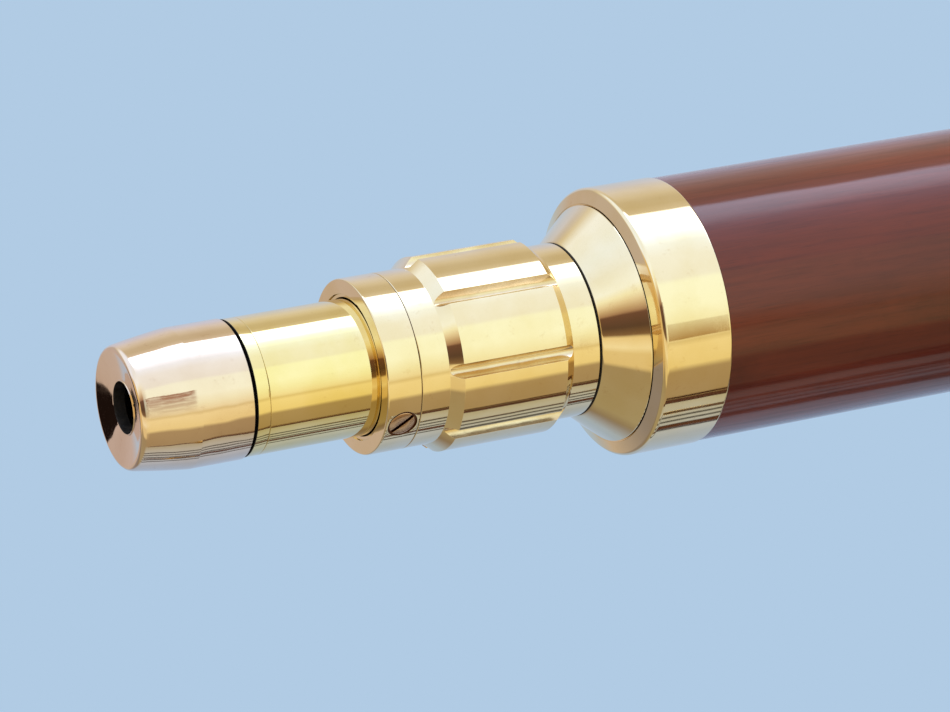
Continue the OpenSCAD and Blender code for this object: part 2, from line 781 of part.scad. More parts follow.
module hinge_bolts() color(BRASS)
    for (leg = [1 : 3]) at_hinge(leg) {
        translate([0, (nut_wing_h + bolt_stand) / 2, 0])
            cross_pin(hinge_bolt_r, bolt_span + nut_wing_h + bolt_stand);
        translate([0, -(bolt_span + bolt_head_h) / 2, 0]) rotate([90, 0, 0])
            cylinder(r = hinge_bolt_r + bolt_head_rim, h = bolt_head_h, $fn = 6, center = true);
    }

module wing_nuts() color(BRASS)
    for (leg = [1 : 3]) at_hinge(leg) translate([0, bolt_span / 2, 0]) rotate([-90, 0, 0])
        difference() {
            union() {
                cylinder(r1 = hinge_bolt_r + 4, r2 = hinge_bolt_r + 2.5, h = nut_wing_h);
                for (turn = [20, 200]) rotate([0, 0, turn])
                    translate([hinge_bolt_r + wing_r + eps, 0, nut_wing_h]) rotate([90, 0, 0])
                        cylinder(r = wing_r, h = wing_t, center = true);
            }
            translate([0, 0, -eps]) cylinder(r = hinge_bolt_r, h = nut_wing_h + wing_r + 1);
        }

// ---- legs ----

heel_h = 9;
top_len = 80;

module leg_top(leg) color(BRASS) {
    difference() {
        union() {
            on_leg(leg) {
                cross_pin(tongue_r, slat_gap);
                translate([-tongue_r, -slat_gap / 2, -top_len])
                    cube([2 * tongue_r, slat_gap, top_len]);
            }
            at_hinge(leg) translate([head_body_d / 2 + side_gap - hinge_r, -slat_gap / 2, 0])
                cube([hinge_r - head_body_d / 2 - side_gap, slat_gap, heel_h]);
        }
        on_leg(leg) cross_pin(hinge_bolt_r + run_gap, slat_gap + 1);
        on_leg(leg) for (z = top_bolts) translate([0, 0, -z]) cross_pin(rivet_r, slat_gap + 1);
    }
}

rivet_r = 2.5;
rivet_head_r = 5;
rivet_head_h = 2;
top_bolts = [slat_start + 14, slat_start + 42];
clamp_rivet_z = clamp_top + clamp_lap / 2;
slat_out = slat_gap / 2 + slat_t;

module leg_slats(leg) color(WOOD) on_leg(leg)
    for (side = [-1, 1]) difference() {
        translate([-slat_w / 2, side * (slat_gap + slat_t) / 2 - slat_t / 2, -slat_end])
            cube([slat_w, slat_t, slat_len]);
        for (z = top_bolts) translate([0, 0, -z]) cross_pin(rivet_r, 2 * slat_out + 1);
        translate([0, 0, -clamp_rivet_z]) cross_pin(rivet_r, 2 * slat_out + 1);
    }

module leg_bolts(leg) color(BRASS) on_leg(leg) {
    for (z = top_bolts) translate([0, 0, -z]) {
        cross_pin(rivet_r, 2 * slat_out);
        for (side = [-1, 1]) translate([0, side * (slat_out + rivet_head_h / 2), 0])
            cross_pin(rivet_head_r, rivet_head_h);
    }
    for (side = [-1, 1]) translate([0, 0, -clamp_rivet_z]) {
        translate([0, side * (slat_out + slat_gap / 2 + clamp_wall) / 2, 0])
            cross_pin(rivet_r, slat_t + clamp_wall);
        translate([0, side * (slat_out + clamp_wall + rivet_head_h / 2), 0])
            cross_pin(rivet_head_r, rivet_head_h);
    }
}

clamp_screw_r = 3;
clamp_boss_r = 8;
clamp_boss_h = 6;
clamp_x = slat_w / 2 + clamp_wall;

module leg_clamp(leg) color(BRASS) on_leg(leg)
    difference() {
        union() {
            translate([-clamp_x, -slat_out - clamp_wall, -clamp_bottom])
                cube([2 * clamp_x, 2 * (slat_out + clamp_wall), clamp_h]);
            translate([clamp_x - 1, 0, -clamp_screw_z]) rotate([0, 90, 0])
                cylinder(r = clamp_boss_r, h = clamp_boss_h + 1);
        }
        translate([-slat_w / 2, -slat_out, -slat_end]) cube([slat_w, 2 * slat_out, clamp_h]);
        translate([-lower_w / 2 - slide_gap, -slat_gap / 2, -clamp_bottom - 1])
            cube([lower_w + 2 * slide_gap, slat_gap, clamp_h]);
        translate([0, 0, -clamp_screw_z]) rotate([0, 90, 0])
            cylinder(r = clamp_screw_r + run_gap, h = 2 * clamp_x);
        translate([0, 0, -clamp_rivet_z]) cross_pin(rivet_r, 2 * (slat_out + clamp_wall) + 1);
    }

thumb_r = 10;
thumb_len = 12;

module clamp_thumbscrew(leg) color(BRASS) on_leg(leg)
    translate([lower_w / 2 + slide_gap, 0, -clamp_screw_z]) rotate([0, 90, 0]) {
        shank = clamp_x + clamp_boss_h + 1 - lower_w / 2 - slide_gap;
        cylinder(r = clamp_screw_r, h = shank);
        translate([0, 0, shank]) fluted_knob(thumb_r, thumb_len, small_knob_flutes);
    }

module lower_leg(leg) color(WOOD) on_leg(leg)
    translate([-lower_w / 2, -lower_t / 2, -lower_end])
        cube([lower_w, lower_t, lower_end - lower_top]);

ferrule_wall = 2.5;
foot_stem_r = 7;
foot_stem = 20;

module foot_ferrule(leg) color(BRASS) on_leg(leg) {
    difference() {
        translate([-lower_w / 2 - ferrule_wall, -lower_t / 2 - ferrule_wall,
                   -lower_end - ferrule_wall])
            cube([lower_w + 2 * ferrule_wall, lower_t + 2 * ferrule_wall, foot_len]);
        translate([-lower_w / 2, -lower_t / 2, -lower_end])
            cube([lower_w, lower_t, foot_len]);
    }
    translate([0, 0, -lower_end - foot_stem])
        cylinder(r = foot_stem_r, h = foot_stem - ferrule_wall + eps);
}

pad_top = 6;

// the pad is cut off level with the floor
module foot_pad(leg) color(RUBBER) difference() {
    on_leg(leg) difference() {
        translate([0, 0, -leg_len - pad_d])
            cylinder(r = pad_d / 2, h = leg_len + pad_d - lower_end - pad_top);
        translate([0, 0, -lower_end - foot_stem]) cylinder(r = foot_stem_r, h = foot_stem);
    }
    at_hinge(leg) translate([0, -pad_d, -hinge_z - 2 * pad_d])
        cube([leg_len, 2 * pad_d, 2 * pad_d]);
}

eyepiece_cap();
eyepiece_ring();
eye_lens();
field_lens();
draw_tube();
erector_cell();
erector_lens();
clamp_collar();
clamp_screws();
guide_bush();
focusing_sleeve();
sleeve_grub_screw();
cone_adapter();
rear_collar();
wood_barrel();
barrel_liner();
front_sleeve();
objective_cell();
crown_lens();
flint_lens();
objective_retainer();
band_near();
band_far();
band_screws();
pivot_washers();
sunshade();
dust_cap();
tilt_knob_near();
tilt_knob_far();
yoke();
azimuth_spindle();
spindle_nut();
tripod_head();
azimuth_lock_screw();
hinge_bolts();
wing_nuts();
for (leg = [1 : 3]) {
    leg_top(leg);
    leg_slats(leg);
    leg_bolts(leg);
    leg_clamp(leg);
    clamp_thumbscrew(leg);
    lower_leg(leg);
    foot_ferrule(leg);
    foot_pad(leg);
}
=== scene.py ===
# %% [markdown]
# # A brass and wood telescope on its tripod
#
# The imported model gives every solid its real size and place. This lesson dresses that frame: it
# loads it, puts up a small paper studio, mixes the finishes, and then makes each part again with
# the soft edges, seams and screw slots that a working drawing leaves out. Every size is in
# millimetres, and every place is read from the frame, so nothing has to be fitted by eye.

import json
import math

import bmesh
import bpy
from mathutils import Matrix, Vector


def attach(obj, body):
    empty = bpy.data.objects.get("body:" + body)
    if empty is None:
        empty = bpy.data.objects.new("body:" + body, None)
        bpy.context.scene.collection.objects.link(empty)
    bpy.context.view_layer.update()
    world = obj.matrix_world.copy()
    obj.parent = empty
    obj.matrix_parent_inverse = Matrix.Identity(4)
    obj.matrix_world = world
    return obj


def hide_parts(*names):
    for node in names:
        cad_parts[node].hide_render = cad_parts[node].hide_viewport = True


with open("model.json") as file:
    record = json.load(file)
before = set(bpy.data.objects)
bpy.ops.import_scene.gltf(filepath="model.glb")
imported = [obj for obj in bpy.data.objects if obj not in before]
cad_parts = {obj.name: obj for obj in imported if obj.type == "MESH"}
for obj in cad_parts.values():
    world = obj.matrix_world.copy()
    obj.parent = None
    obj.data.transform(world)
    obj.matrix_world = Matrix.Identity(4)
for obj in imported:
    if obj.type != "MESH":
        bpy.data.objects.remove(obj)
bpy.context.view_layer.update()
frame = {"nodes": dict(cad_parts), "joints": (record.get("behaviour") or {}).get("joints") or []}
MM = 0.001
JOINTS = {joint["name"]: joint for joint in frame["joints"]}
print("nodes:", len(frame["nodes"]), "joints:", len(JOINTS))

# %% [markdown]
# ## Two working frames
#
# A lathe hand measures along the work. The telescope's tube is tilted, so its pieces are drawn in
# a frame of their own, with X along the tube, and one matrix lays them on the mount. The focus
# joint says which way the tube points and the tilt joint says where its pivot is. Each leg gets
# the same treatment from its hinge and its slide: X outwards, Z up the leg.

# %% Working frames
def basis(x_axis, y_axis, origin):
    """The matrix that turns X and Y to these directions and moves the origin."""
    x_axis, y_axis = Vector(x_axis).normalized(), Vector(y_axis).normalized()
    turn = Matrix((x_axis, y_axis, x_axis.cross(y_axis))).transposed()
    return Matrix.Translation(Vector(origin)) @ turn.to_4x4()


def extent(node, place):
    """Lowest and highest corner of a CAD node in a working frame, in millimetres."""
    back = place.inverted()
    points = [back @ vertex.co for vertex in frame["nodes"][node].data.vertices]
    low = Vector([min(p[i] for p in points) for i in range(3)]) / MM
    high = Vector([max(p[i] for p in points) for i in range(3)]) / MM
    return low, high


TUBE_AXIS = -Vector(JOINTS["focus_draw"]["axis"])
PIVOT = Vector(JOINTS["altitude_tilt"]["pos_m"])
at_pivot = basis(TUBE_AXIS, (0, 1, 0), PIVOT)
EYE_END = extent("eyepiece_cap", at_pivot)[0].x
TUBE = at_pivot @ Matrix.Translation((EYE_END * MM, 0, 0))
UPRIGHT = Matrix.Translation(PIVOT)


def leg_frame(leg):
    """The working frame of one leg: the origin at its hinge, X outwards and Z up the leg."""
    hinge, slide = JOINTS[f"leg_fold_{leg}"], JOINTS[f"leg_extend_{leg}"]
    across, up = Vector(hinge["axis"]), -Vector(slide["axis"])
    return basis(across.cross(up), across, hinge["pos_m"])


LEGS = {leg: leg_frame(leg) for leg in (1, 2, 3)}
TIP = extent("dust_cap", TUBE)[1].x
print(f"tube length {TIP:.1f} mm, pitch {math.degrees(math.asin(TUBE_AXIS.z)):.1f} degrees")

# %% [markdown]
# ## The camera
#
# A long lens, about 170 mm on a full frame, stands a metre from the focusing sleeve and level
# with it. It looks across the tube from the eyepiece side, so the eyepiece points towards it and
# the barrel runs away out of view. The lens isn't shifted, so that the same camera can go round
# the whole object.

# %% Camera
LENS_MM, SENSOR_MM = 170.5, 36
NEAREST, FURTHEST = 0.05, 60
CAMERA_DISTANCE = 1.0167
CAMERA_AZIMUTH = math.radians(-24.54)
SIGHT_RIGHT, SIGHT_UP = -0.00043, 0.00244

middle = extent("focusing_sleeve", TUBE)
target = TUBE @ Vector(((middle[0].x + middle[1].x) / 2 * MM, 0, 0))
forward = Vector((-math.sin(CAMERA_AZIMUTH), math.cos(CAMERA_AZIMUTH), 0))
right = Vector((math.cos(CAMERA_AZIMUTH), math.sin(CAMERA_AZIMUTH), 0))
lens = bpy.data.cameras.new("camera")
lens.lens, lens.sensor_width = LENS_MM, SENSOR_MM
lens.clip_start, lens.clip_end = NEAREST, FURTHEST
camera = bpy.data.objects.new("camera", lens)
bpy.context.collection.objects.link(camera)
sight = right * SIGHT_RIGHT + Vector((0, 0, SIGHT_UP))
camera.location = target - forward * CAMERA_DISTANCE - sight
camera.rotation_euler = forward.to_track_quat("-Z", "Y").to_euler()
bpy.context.scene.camera = camera
bpy.context.scene.view_settings.view_transform = "Standard"
print("camera at", [round(c, 3) for c in camera.location])

# %% [markdown]
# ## Helpers for colours and nodes
#
# Colours are written as the hex values that a painter's chart gives, and one function turns them
# into the linear numbers that light is reckoned in. One more function adds a node: its settings
# are keywords, and its inputs are plain values, hex colours, or the nodes they are wired to.

# %% Colour and node helpers
def linear(hex_colour):
    """An sRGB hex colour as linear red, green, blue and alpha."""
    def channel(value):
        return value / 12.92 if value <= 0.04045 else ((value + 0.055) / 1.055) ** 2.4
    parts = [int(hex_colour[i:i + 2], 16) / 255 for i in (1, 3, 5)]
    return (*[channel(part) for part in parts], 1.0)


def add(tree, kind, inputs, stops=(), **settings):
    """Adds a node to a tree, sets its properties and ramp, and fills or wires its inputs."""
    node = tree.nodes.new(kind)
    for name, value in settings.items():
        setattr(node, name, value)
    for name, value in inputs.items():
        if isinstance(value, bpy.types.Node):
            value = next(output for output in value.outputs if output.enabled)
        if isinstance(value, bpy.types.NodeSocket):
            tree.links.new(value, node.inputs[name])
        else:
            node.inputs[name].default_value = linear(value) if isinstance(value, str) else value
    for _ in stops[2:]:
        node.color_ramp.elements.new(1.0)
    for i, (position, colour) in enumerate(stops):
        node.color_ramp.elements[i].position = position
        node.color_ramp.elements[i].color = colour
    return node


# %% [markdown]
# ## The studio
#
# Polished brass has hardly a colour of its own: it shows the room. So the world here is a paper
# tent hung round the object, drawn by two angles. One goes round the tube: a blue-grey sweep
# behind, a warm ceiling, a bright softbox high on the camera's side, cream paper in front, dim
# paper below it, and a blind whose slats show as thin dark lines. The other goes along the tube.
# Only faces that look back past the eyepiece see that end of the tent, where warm paper hangs and
# where somebody at work stands as a dark shape. Rays that go straight to the lens see only the
# plain pale blue sweep.

# %% The paper all round the tube
SWEEP_BLUE = "#B1CBE4"
TENT = [
    (-180, (0.48, 0.60, 0.76)), (-150, (0.40, 0.52, 0.73)), (-128, (0.43, 0.51, 0.66)),
    (-118, (0.50, 0.57, 0.70)), (-86, (0.54, 0.54, 0.49)), (-78, (0.50, 0.47, 0.36)),
    (-74, (0.42, 0.31, 0.17)), (-50, (0.46, 0.34, 0.18)), (-45, (0.95, 0.79, 0.38)),
    (-28, (1.01, 0.87, 0.47)), (-24, (0.84, 0.70, 0.36)), (-20, (1.01, 0.93, 0.60)),
    (-10, (1.06, 1.08, 0.80)), (4, (1.12, 1.22, 1.06)), (26, (1.12, 1.24, 1.14)),
    (30, (1.03, 1.10, 1.12)), (50, (1.05, 1.14, 1.24)), (62, (1.10, 1.26, 1.54)),
    (72, (1.40, 1.62, 2.10)), (82, (2.80, 3.30, 4.20)), (95, (3.40, 3.90, 5.00)),
    (98, (0.77, 0.69, 0.56)), (107, (0.66, 0.57, 0.40)), (116, (0.66, 0.57, 0.41)),
    (124, (0.74, 0.66, 0.52)), (136, (0.78, 0.73, 0.70)), (152, (0.68, 0.70, 0.86)),
    (180, (0.48, 0.60, 0.76)),
]
EYEPIECE_END = [
    (-180, (0.60, 0.49, 0.45)), (-160, (0.60, 0.50, 0.43)), (-148, (0.31, 0.27, 0.27)),
    (-128, (0.28, 0.22, 0.16)), (-116, (0.41, 0.35, 0.22)), (-62, (0.41, 0.32, 0.18)),
    (-57, (0.84, 0.67, 0.34)), (-42, (0.86, 0.70, 0.37)), (-35, (1.02, 0.92, 0.62)),
    (-22, (0.93, 0.76, 0.42)), (-19, (0.24, 0.14, 0.07)), (-8, (0.12, 0.07, 0.045)),
    (9, (0.18, 0.09, 0.06)), (11, (0.44, 0.27, 0.17)), (18, (0.66, 0.50, 0.33)),
    (26, (0.90, 0.80, 0.60)), (34, (1.06, 1.09, 0.92)), (44, (1.09, 1.21, 1.34)),
    (66, (1.00, 1.09, 1.20)), (90, (1.02, 1.18, 1.50)), (124, (1.04, 1.14, 1.32)),
    (137, (0.80, 0.74, 0.60)), (146, (0.57, 0.50, 0.46)), (180, (0.60, 0.49, 0.46)),
]

world = bpy.data.worlds.new("studio_tent")
bpy.context.scene.world = world
world.use_nodes = True
tree = world.node_tree
tree.nodes.clear()
direction = add(tree, "ShaderNodeTexCoord", {})
square = Vector((0, -1, 0)).cross(TUBE_AXIS).normalized()
TUBE_UP = square if square.z > 0 else -square

up = add(tree, "ShaderNodeVectorMath", {0: direction, 1: TUBE_UP}, operation="DOT_PRODUCT")
towards = add(tree, "ShaderNodeVectorMath", {0: direction, 1: (0, -1, 0)}, operation="DOT_PRODUCT")
along = add(tree, "ShaderNodeVectorMath", {0: direction, 1: TUBE_AXIS}, operation="DOT_PRODUCT")
angle = add(tree, "ShaderNodeMath", {0: up, 1: towards}, operation="ARCTAN2")
degrees = add(tree, "ShaderNodeMath", {0: angle, 1: 180 / math.pi}, operation="MULTIPLY")
position = add(tree, "ShaderNodeMapRange", {"Value": degrees, "From Min": -180, "From Max": 180})
side, end = [
    add(tree, "ShaderNodeValToRGB", {"Fac": position},
        stops=[((at + 180) / 360, (*colour, 1.0)) for at, colour in stops])
    for stops in (TENT, EYEPIECE_END)
]
print("tent stops:", len(TENT), "and", len(EYEPIECE_END))

# %% The blind, seen low on every cylinder
SLAT_PITCH, SLAT_AT, SLAT_HALF, SLAT_SHARE = 5.5, -92.0, 1.1, 0.85
BLIND_MIDDLE, BLIND_HALF = -103.0, 13.5
shifted = add(tree, "ShaderNodeMath", {0: degrees, 1: -SLAT_AT}, operation="ADD")
off_slat = add(tree, "ShaderNodeMath", {0: shifted, 1: SLAT_PITCH / 2}, operation="PINGPONG")
slat = add(tree, "ShaderNodeMapRange",
           {"Value": off_slat, "From Min": SLAT_HALF * 0.6, "From Max": SLAT_HALF * 1.4,
            "To Min": SLAT_SHARE, "To Max": 0.0})
in_blind = add(tree, "ShaderNodeMath", {0: degrees, 1: BLIND_MIDDLE, 2: BLIND_HALF},
               operation="COMPARE")
slats = add(tree, "ShaderNodeMath", {0: slat, 1: in_blind}, operation="MULTIPLY")
side = add(tree, "ShaderNodeMix", {0: slats, 6: side, 7: "#2A2018"}, data_type="RGBA")
print("slats in the blind:", int(2 * BLIND_HALF / SLAT_PITCH) + 1)

# %% A window frame that the taper of the cap shows, and a tan card that the big collar shows
TAPER_SEES, TAPER_HALF, FRAME_LOW, FRAME_HIGH = 0.03, 0.107, -22.0, 11.0
in_reach = add(tree, "ShaderNodeMath", {0: along, 1: TAPER_SEES, 2: TAPER_HALF},
               operation="COMPARE")
in_frame = add(tree, "ShaderNodeMath",
               {0: degrees, 1: (FRAME_LOW + FRAME_HIGH) / 2, 2: (FRAME_HIGH - FRAME_LOW) / 2},
               operation="COMPARE")
shade = add(tree, "ShaderNodeMapRange", {"Value": degrees, "From Min": FRAME_LOW,
                                         "From Max": FRAME_HIGH, "To Min": 0.12, "To Max": 1.0})
leaves = add(tree, "ShaderNodeTexNoise", {"Vector": direction, "Scale": 22.0, "Detail": 5.0})
mottled = add(tree, "ShaderNodeMapRange", {"Value": leaves, "From Min": 0.40, "From Max": 0.56,
                                           "To Min": 0.45, "To Max": 1.0})
patch = add(tree, "ShaderNodeMath", {0: in_reach, 1: in_frame}, operation="MULTIPLY")
patch = add(tree, "ShaderNodeMath", {0: patch, 1: shade}, operation="MULTIPLY")
patch = add(tree, "ShaderNodeMath", {0: patch, 1: mottled}, operation="MULTIPLY")
side = add(tree, "ShaderNodeMix", {0: patch, 6: side, 7: "#A0603C"}, data_type="RGBA")

COLLAR_SEES, COLLAR_HALF, CARD_MIDDLE, CARD_HALF = 0.458, 0.017, -15.0, 7.0
in_reach = add(tree, "ShaderNodeMath", {0: along, 1: COLLAR_SEES, 2: COLLAR_HALF},
               operation="COMPARE")
in_card = add(tree, "ShaderNodeMath", {0: degrees, 1: CARD_MIDDLE, 2: CARD_HALF},
              operation="COMPARE")
fading = add(tree, "ShaderNodeMapRange",
             {"Value": degrees, "From Min": CARD_MIDDLE - CARD_HALF,
              "From Max": CARD_MIDDLE + CARD_HALF, "To Min": 0.9, "To Max": 0.35})
card = add(tree, "ShaderNodeMath", {0: in_reach, 1: in_card}, operation="MULTIPLY")
card = add(tree, "ShaderNodeMath", {0: card, 1: fading}, operation="MULTIPLY")
side = add(tree, "ShaderNodeMix", {0: card, 6: side, 7: "#B08A50"}, data_type="RGBA")
print("window frame:", FRAME_HIGH - FRAME_LOW, "degrees, card:", 2 * CARD_HALF, "degrees")

# %% The dark shape at the end, and the two parts of the tent put together
FAR_LOW, FAR_HIGH, FIGURE_HALF, FIGURE_FROM = -0.93, -0.88, 12.0, -0.612
END_UP_TO, SIDE_FROM = -0.22, 0.0
at_end = add(tree, "ShaderNodeMapRange", {"Value": along, "From Min": FAR_LOW,
                                          "From Max": FAR_HIGH, "To Min": 1.0, "To Max": 0.0})
end = add(tree, "ShaderNodeMix", {0: at_end, 6: end, 7: "#E8C98A"}, data_type="RGBA")
behind = add(tree, "ShaderNodeMath", {0: degrees}, operation="ABSOLUTE")
behind = add(tree, "ShaderNodeMath", {0: behind, 1: 180.0, 2: FIGURE_HALF}, operation="COMPARE")
beyond = add(tree, "ShaderNodeMath", {0: along, 1: FIGURE_FROM}, operation="LESS_THAN")
figure = add(tree, "ShaderNodeMath", {0: behind, 1: beyond}, operation="MULTIPLY")
end = add(tree, "ShaderNodeMix", {0: figure, 6: end, 7: "#1C1310"}, data_type="RGBA")
sideways = add(tree, "ShaderNodeMapRange",
               {"Value": along, "From Min": END_UP_TO, "From Max": SIDE_FROM})
tent = add(tree, "ShaderNodeMix", {0: sideways, 6: end, 7: side}, data_type="RGBA")
lit = add(tree, "ShaderNodeBackground", {"Color": tent})
plain = add(tree, "ShaderNodeBackground", {"Color": SWEEP_BLUE})
eye = add(tree, "ShaderNodeLightPath", {})
both = add(tree, "ShaderNodeMixShader", {0: eye, 1: lit, 2: plain})
add(tree, "ShaderNodeOutputWorld", {"Surface": both})
print("world nodes:", len(tree.nodes))

# %% [markdown]
# ## Where a pattern sits on a piece
#
# A lathe leaves its rings round the work, and wood grain runs along the board, so a pattern has
# to turn with its piece. Object coordinates all share the row's axes and the tube is tilted.
# Instead every piece made here carries its own coordinates, in millimetres, in an attribute
# called "own", with the lengthwise direction first. One material then suits every board, and a
# noise texture's scale is simply one over the size of its blobs in millimetres.

# %% A new material
def material(name):
    """A new material with an empty node tree, and the piece's own coordinates in it."""
    made = bpy.data.materials.new(name)
    made.use_nodes = True
    made.node_tree.nodes.clear()
    own = add(made.node_tree, "ShaderNodeAttribute", {}, attribute_name="own")
    return made, made.node_tree, own.outputs["Vector"]


# %% [markdown]
# ## Polished brass
#
# Brass is copper and zinc: a pale yellow metal that turns golden where it reflects something dim
# and nearly white where it reflects a lamp. The parts were turned on a lathe and buffed by hand.
# Turning leaves rings too fine to see one by one, drawn here at about half a millimetre so that
# they just soften the shine, and buffing leaves the surface a little wavy, which bends the edges
# of every reflection. Lacquer and fingers leave faint duller clouds.

# %% Brass off the lathe
def turned_brass(name, bright, deep, stain, ring_mm, wave_mm, wave_every, gloss):
    """Brass off the lathe: base colours, ring depth, buffing waves and roughness range."""
    made, tree, own = material(name)
    xyz = add(tree, "ShaderNodeSeparateXYZ", {0: own}).outputs
    across = add(tree, "ShaderNodeCombineXYZ", {"Y": xyz["Y"], "Z": xyz["Z"]})
    radius = add(tree, "ShaderNodeVectorMath", {0: across}, operation="LENGTH")
    ring_place = add(tree, "ShaderNodeCombineXYZ", {"X": xyz["X"], "Y": radius})
    rings = add(tree, "ShaderNodeTexNoise", {"Vector": ring_place, "Scale": 2.0, "Detail": 4.0})
    clouds = add(tree, "ShaderNodeTexNoise", {"Vector": own, "Scale": 0.09, "Detail": 5.0})
    patches = add(tree, "ShaderNodeTexNoise",
                  {"Vector": own, "Scale": 0.35, "Detail": 6.0, "Roughness": 0.7})
    waves = add(tree, "ShaderNodeTexNoise",
                {"Vector": own, "Scale": 1 / wave_every, "Detail": 1.0})
    clouded = add(tree, "ShaderNodeMapRange",
                  {"Value": clouds, "From Min": 0.38, "From Max": 0.68})
    base = add(tree, "ShaderNodeMix", {0: clouded, 6: bright, 7: deep}, data_type="RGBA")
    stained = add(tree, "ShaderNodeMapRange",
                  {"Value": patches, "From Min": 0.60, "From Max": 0.80, "To Max": 0.35})
    base = add(tree, "ShaderNodeMix", {0: stained, 6: base, 7: stain}, data_type="RGBA")
    rough = add(tree, "ShaderNodeMapRange", {"Value": patches, "From Min": 0.3, "From Max": 0.8,
                                             "To Min": gloss[0], "To Max": gloss[1]})
    wavy = add(tree, "ShaderNodeBump", {"Height": waves, "Distance": wave_mm * MM})
    ringed = add(tree, "ShaderNodeBump",
                 {"Height": rings, "Distance": ring_mm * MM, "Normal": wavy})
    shader = add(tree, "ShaderNodeBsdfPrincipled", {"Base Color": base, "Roughness": rough,
                                                    "Normal": ringed, "Metallic": 1.0})
    add(tree, "ShaderNodeOutputMaterial", {"Surface": shader})
    return made


POLISHED = turned_brass("polished_lathe_turned_brass", "#F2E2BE", "#EDDAAE", "#C79E62",
                        ring_mm=0.0008, wave_mm=0.06, wave_every=14, gloss=(0.03, 0.08))
DRAWN = turned_brass("polished_drawn_brass_tube", "#F3E3B2", "#EEDC9E", "#BF9A58",
                     ring_mm=0.0006, wave_mm=0.04, wave_every=16, gloss=(0.03, 0.07))
ROSE = turned_brass("rose_lacquered_brass", "#EFDDC9", "#E8D3BC", "#A87458",
                    ring_mm=0.0008, wave_mm=0.16, wave_every=9, gloss=(0.035, 0.09))
# The grooves are milled and only lightly buffed, so their walls blur what they reflect.
GROOVED = turned_brass("lightly_buffed_milled_brass", "#EBD9B8", "#D8BC90", "#8A6242",
                       ring_mm=0.004, wave_mm=0.25, wave_every=8, gloss=(0.13, 0.30))
# Dark brown for the walls of the cuts; on the clamp collar it also paints the shade in its seam.
DARK_CUTS_AND_SEAM_SHADE = turned_brass("dark_brown_cuts_and_seam_shade", "#6E4630", "#4A2E20", "#24140E",
                         ring_mm=0.003, wave_mm=0.2, wave_every=8, gloss=(0.30, 0.50))
SCREW_BRASS = turned_brass("tarnished_screw_brass", "#D9B592", "#C39A76", "#7A4C36",
                           ring_mm=0.004, wave_mm=0.2, wave_every=6, gloss=(0.12, 0.26))
print("brass finishes:", len(bpy.data.materials))

# %% Cast brass and blacking
# Yoke, head and leg fittings: sand cast, filed and buffed, then left to age a little.
AGED, tree, own = material("aged_cast_brass")
clouds = add(tree, "ShaderNodeTexNoise", {"Vector": own, "Scale": 0.06, "Detail": 5.0})
specks = add(tree, "ShaderNodeTexNoise",
             {"Vector": own, "Scale": 0.5, "Detail": 8.0, "Roughness": 0.7})
skin = add(tree, "ShaderNodeTexNoise", {"Vector": own, "Scale": 0.25, "Detail": 4.0})
drawn_out = add(tree, "ShaderNodeMapping", {"Vector": own, "Scale": (0.15, 3.0, 3.0)})
scratches = add(tree, "ShaderNodeTexNoise", {"Vector": drawn_out, "Scale": 1.0, "Detail": 5.0})
clouded = add(tree, "ShaderNodeMapRange", {"Value": clouds, "From Min": 0.35, "From Max": 0.70})
speckled = add(tree, "ShaderNodeMapRange",
               {"Value": specks, "From Min": 0.58, "From Max": 0.78, "To Max": 0.6})
base = add(tree, "ShaderNodeMix", {0: clouded, 6: "#DDBE78", 7: "#C39A55"}, data_type="RGBA")
base = add(tree, "ShaderNodeMix", {0: speckled, 6: base, 7: "#7E5A2E"}, data_type="RGBA")
rough = add(tree, "ShaderNodeMapRange", {"Value": specks, "From Min": 0.35, "From Max": 0.75,
                                         "To Min": 0.14, "To Max": 0.34})
cast_skin = add(tree, "ShaderNodeBump", {"Height": skin, "Distance": 0.08 * MM})
filed = add(tree, "ShaderNodeBump",
            {"Height": scratches, "Distance": 0.004 * MM, "Normal": cast_skin})
shader = add(tree, "ShaderNodeBsdfPrincipled", {"Base Color": base, "Roughness": rough,
                                                "Normal": filed, "Metallic": 1.0})
add(tree, "ShaderNodeOutputMaterial", {"Surface": shader})

# Chemically blacked brass inside the tube: dull, so that it kills stray light.
# The same black also paints the shade into the seams of the cap, the ring and the cone.
BLACKING_AND_SEAM_SHADE, tree, own = material("matt_blacked_brass_and_seam_shade")
dust = add(tree, "ShaderNodeTexNoise", {"Vector": own, "Scale": 0.8, "Detail": 6.0})
dusty = add(tree, "ShaderNodeMapRange", {"Value": dust, "From Min": 0.4, "From Max": 0.75})
base = add(tree, "ShaderNodeMix", {0: dusty, 6: "#120E0C", 7: "#2A211B"}, data_type="RGBA")
rough = add(tree, "ShaderNodeMapRange", {"Value": dust, "From Min": 0.3, "From Max": 0.8,
                                         "To Min": 0.5, "To Max": 0.75})
grit = add(tree, "ShaderNodeBump", {"Height": dust, "Distance": 0.03 * MM})
shader = add(tree, "ShaderNodeBsdfPrincipled",
             {"Base Color": base, "Roughness": rough, "Normal": grit})
add(tree, "ShaderNodeOutputMaterial", {"Surface": shader})
print("made:", AGED.name, "and", BLACKING_AND_SEAM_SHADE.name)

# %% [markdown]
# ## Varnished mahogany
#
# The barrel is a turned wooden tube under several coats of varnish. Three things are seen at
# once: the fine straight grain along the tube, slow patches where the stain took darker, and the
# clear gloss on top, which mirrors the studio. The Principled shader's coat is that varnish.
# Varnish soaks into the wood, so the wood below it has almost no shine of its own and keeps its
# deep colour. The boards of the tripod are the same wood with fewer coats, so they are duller.

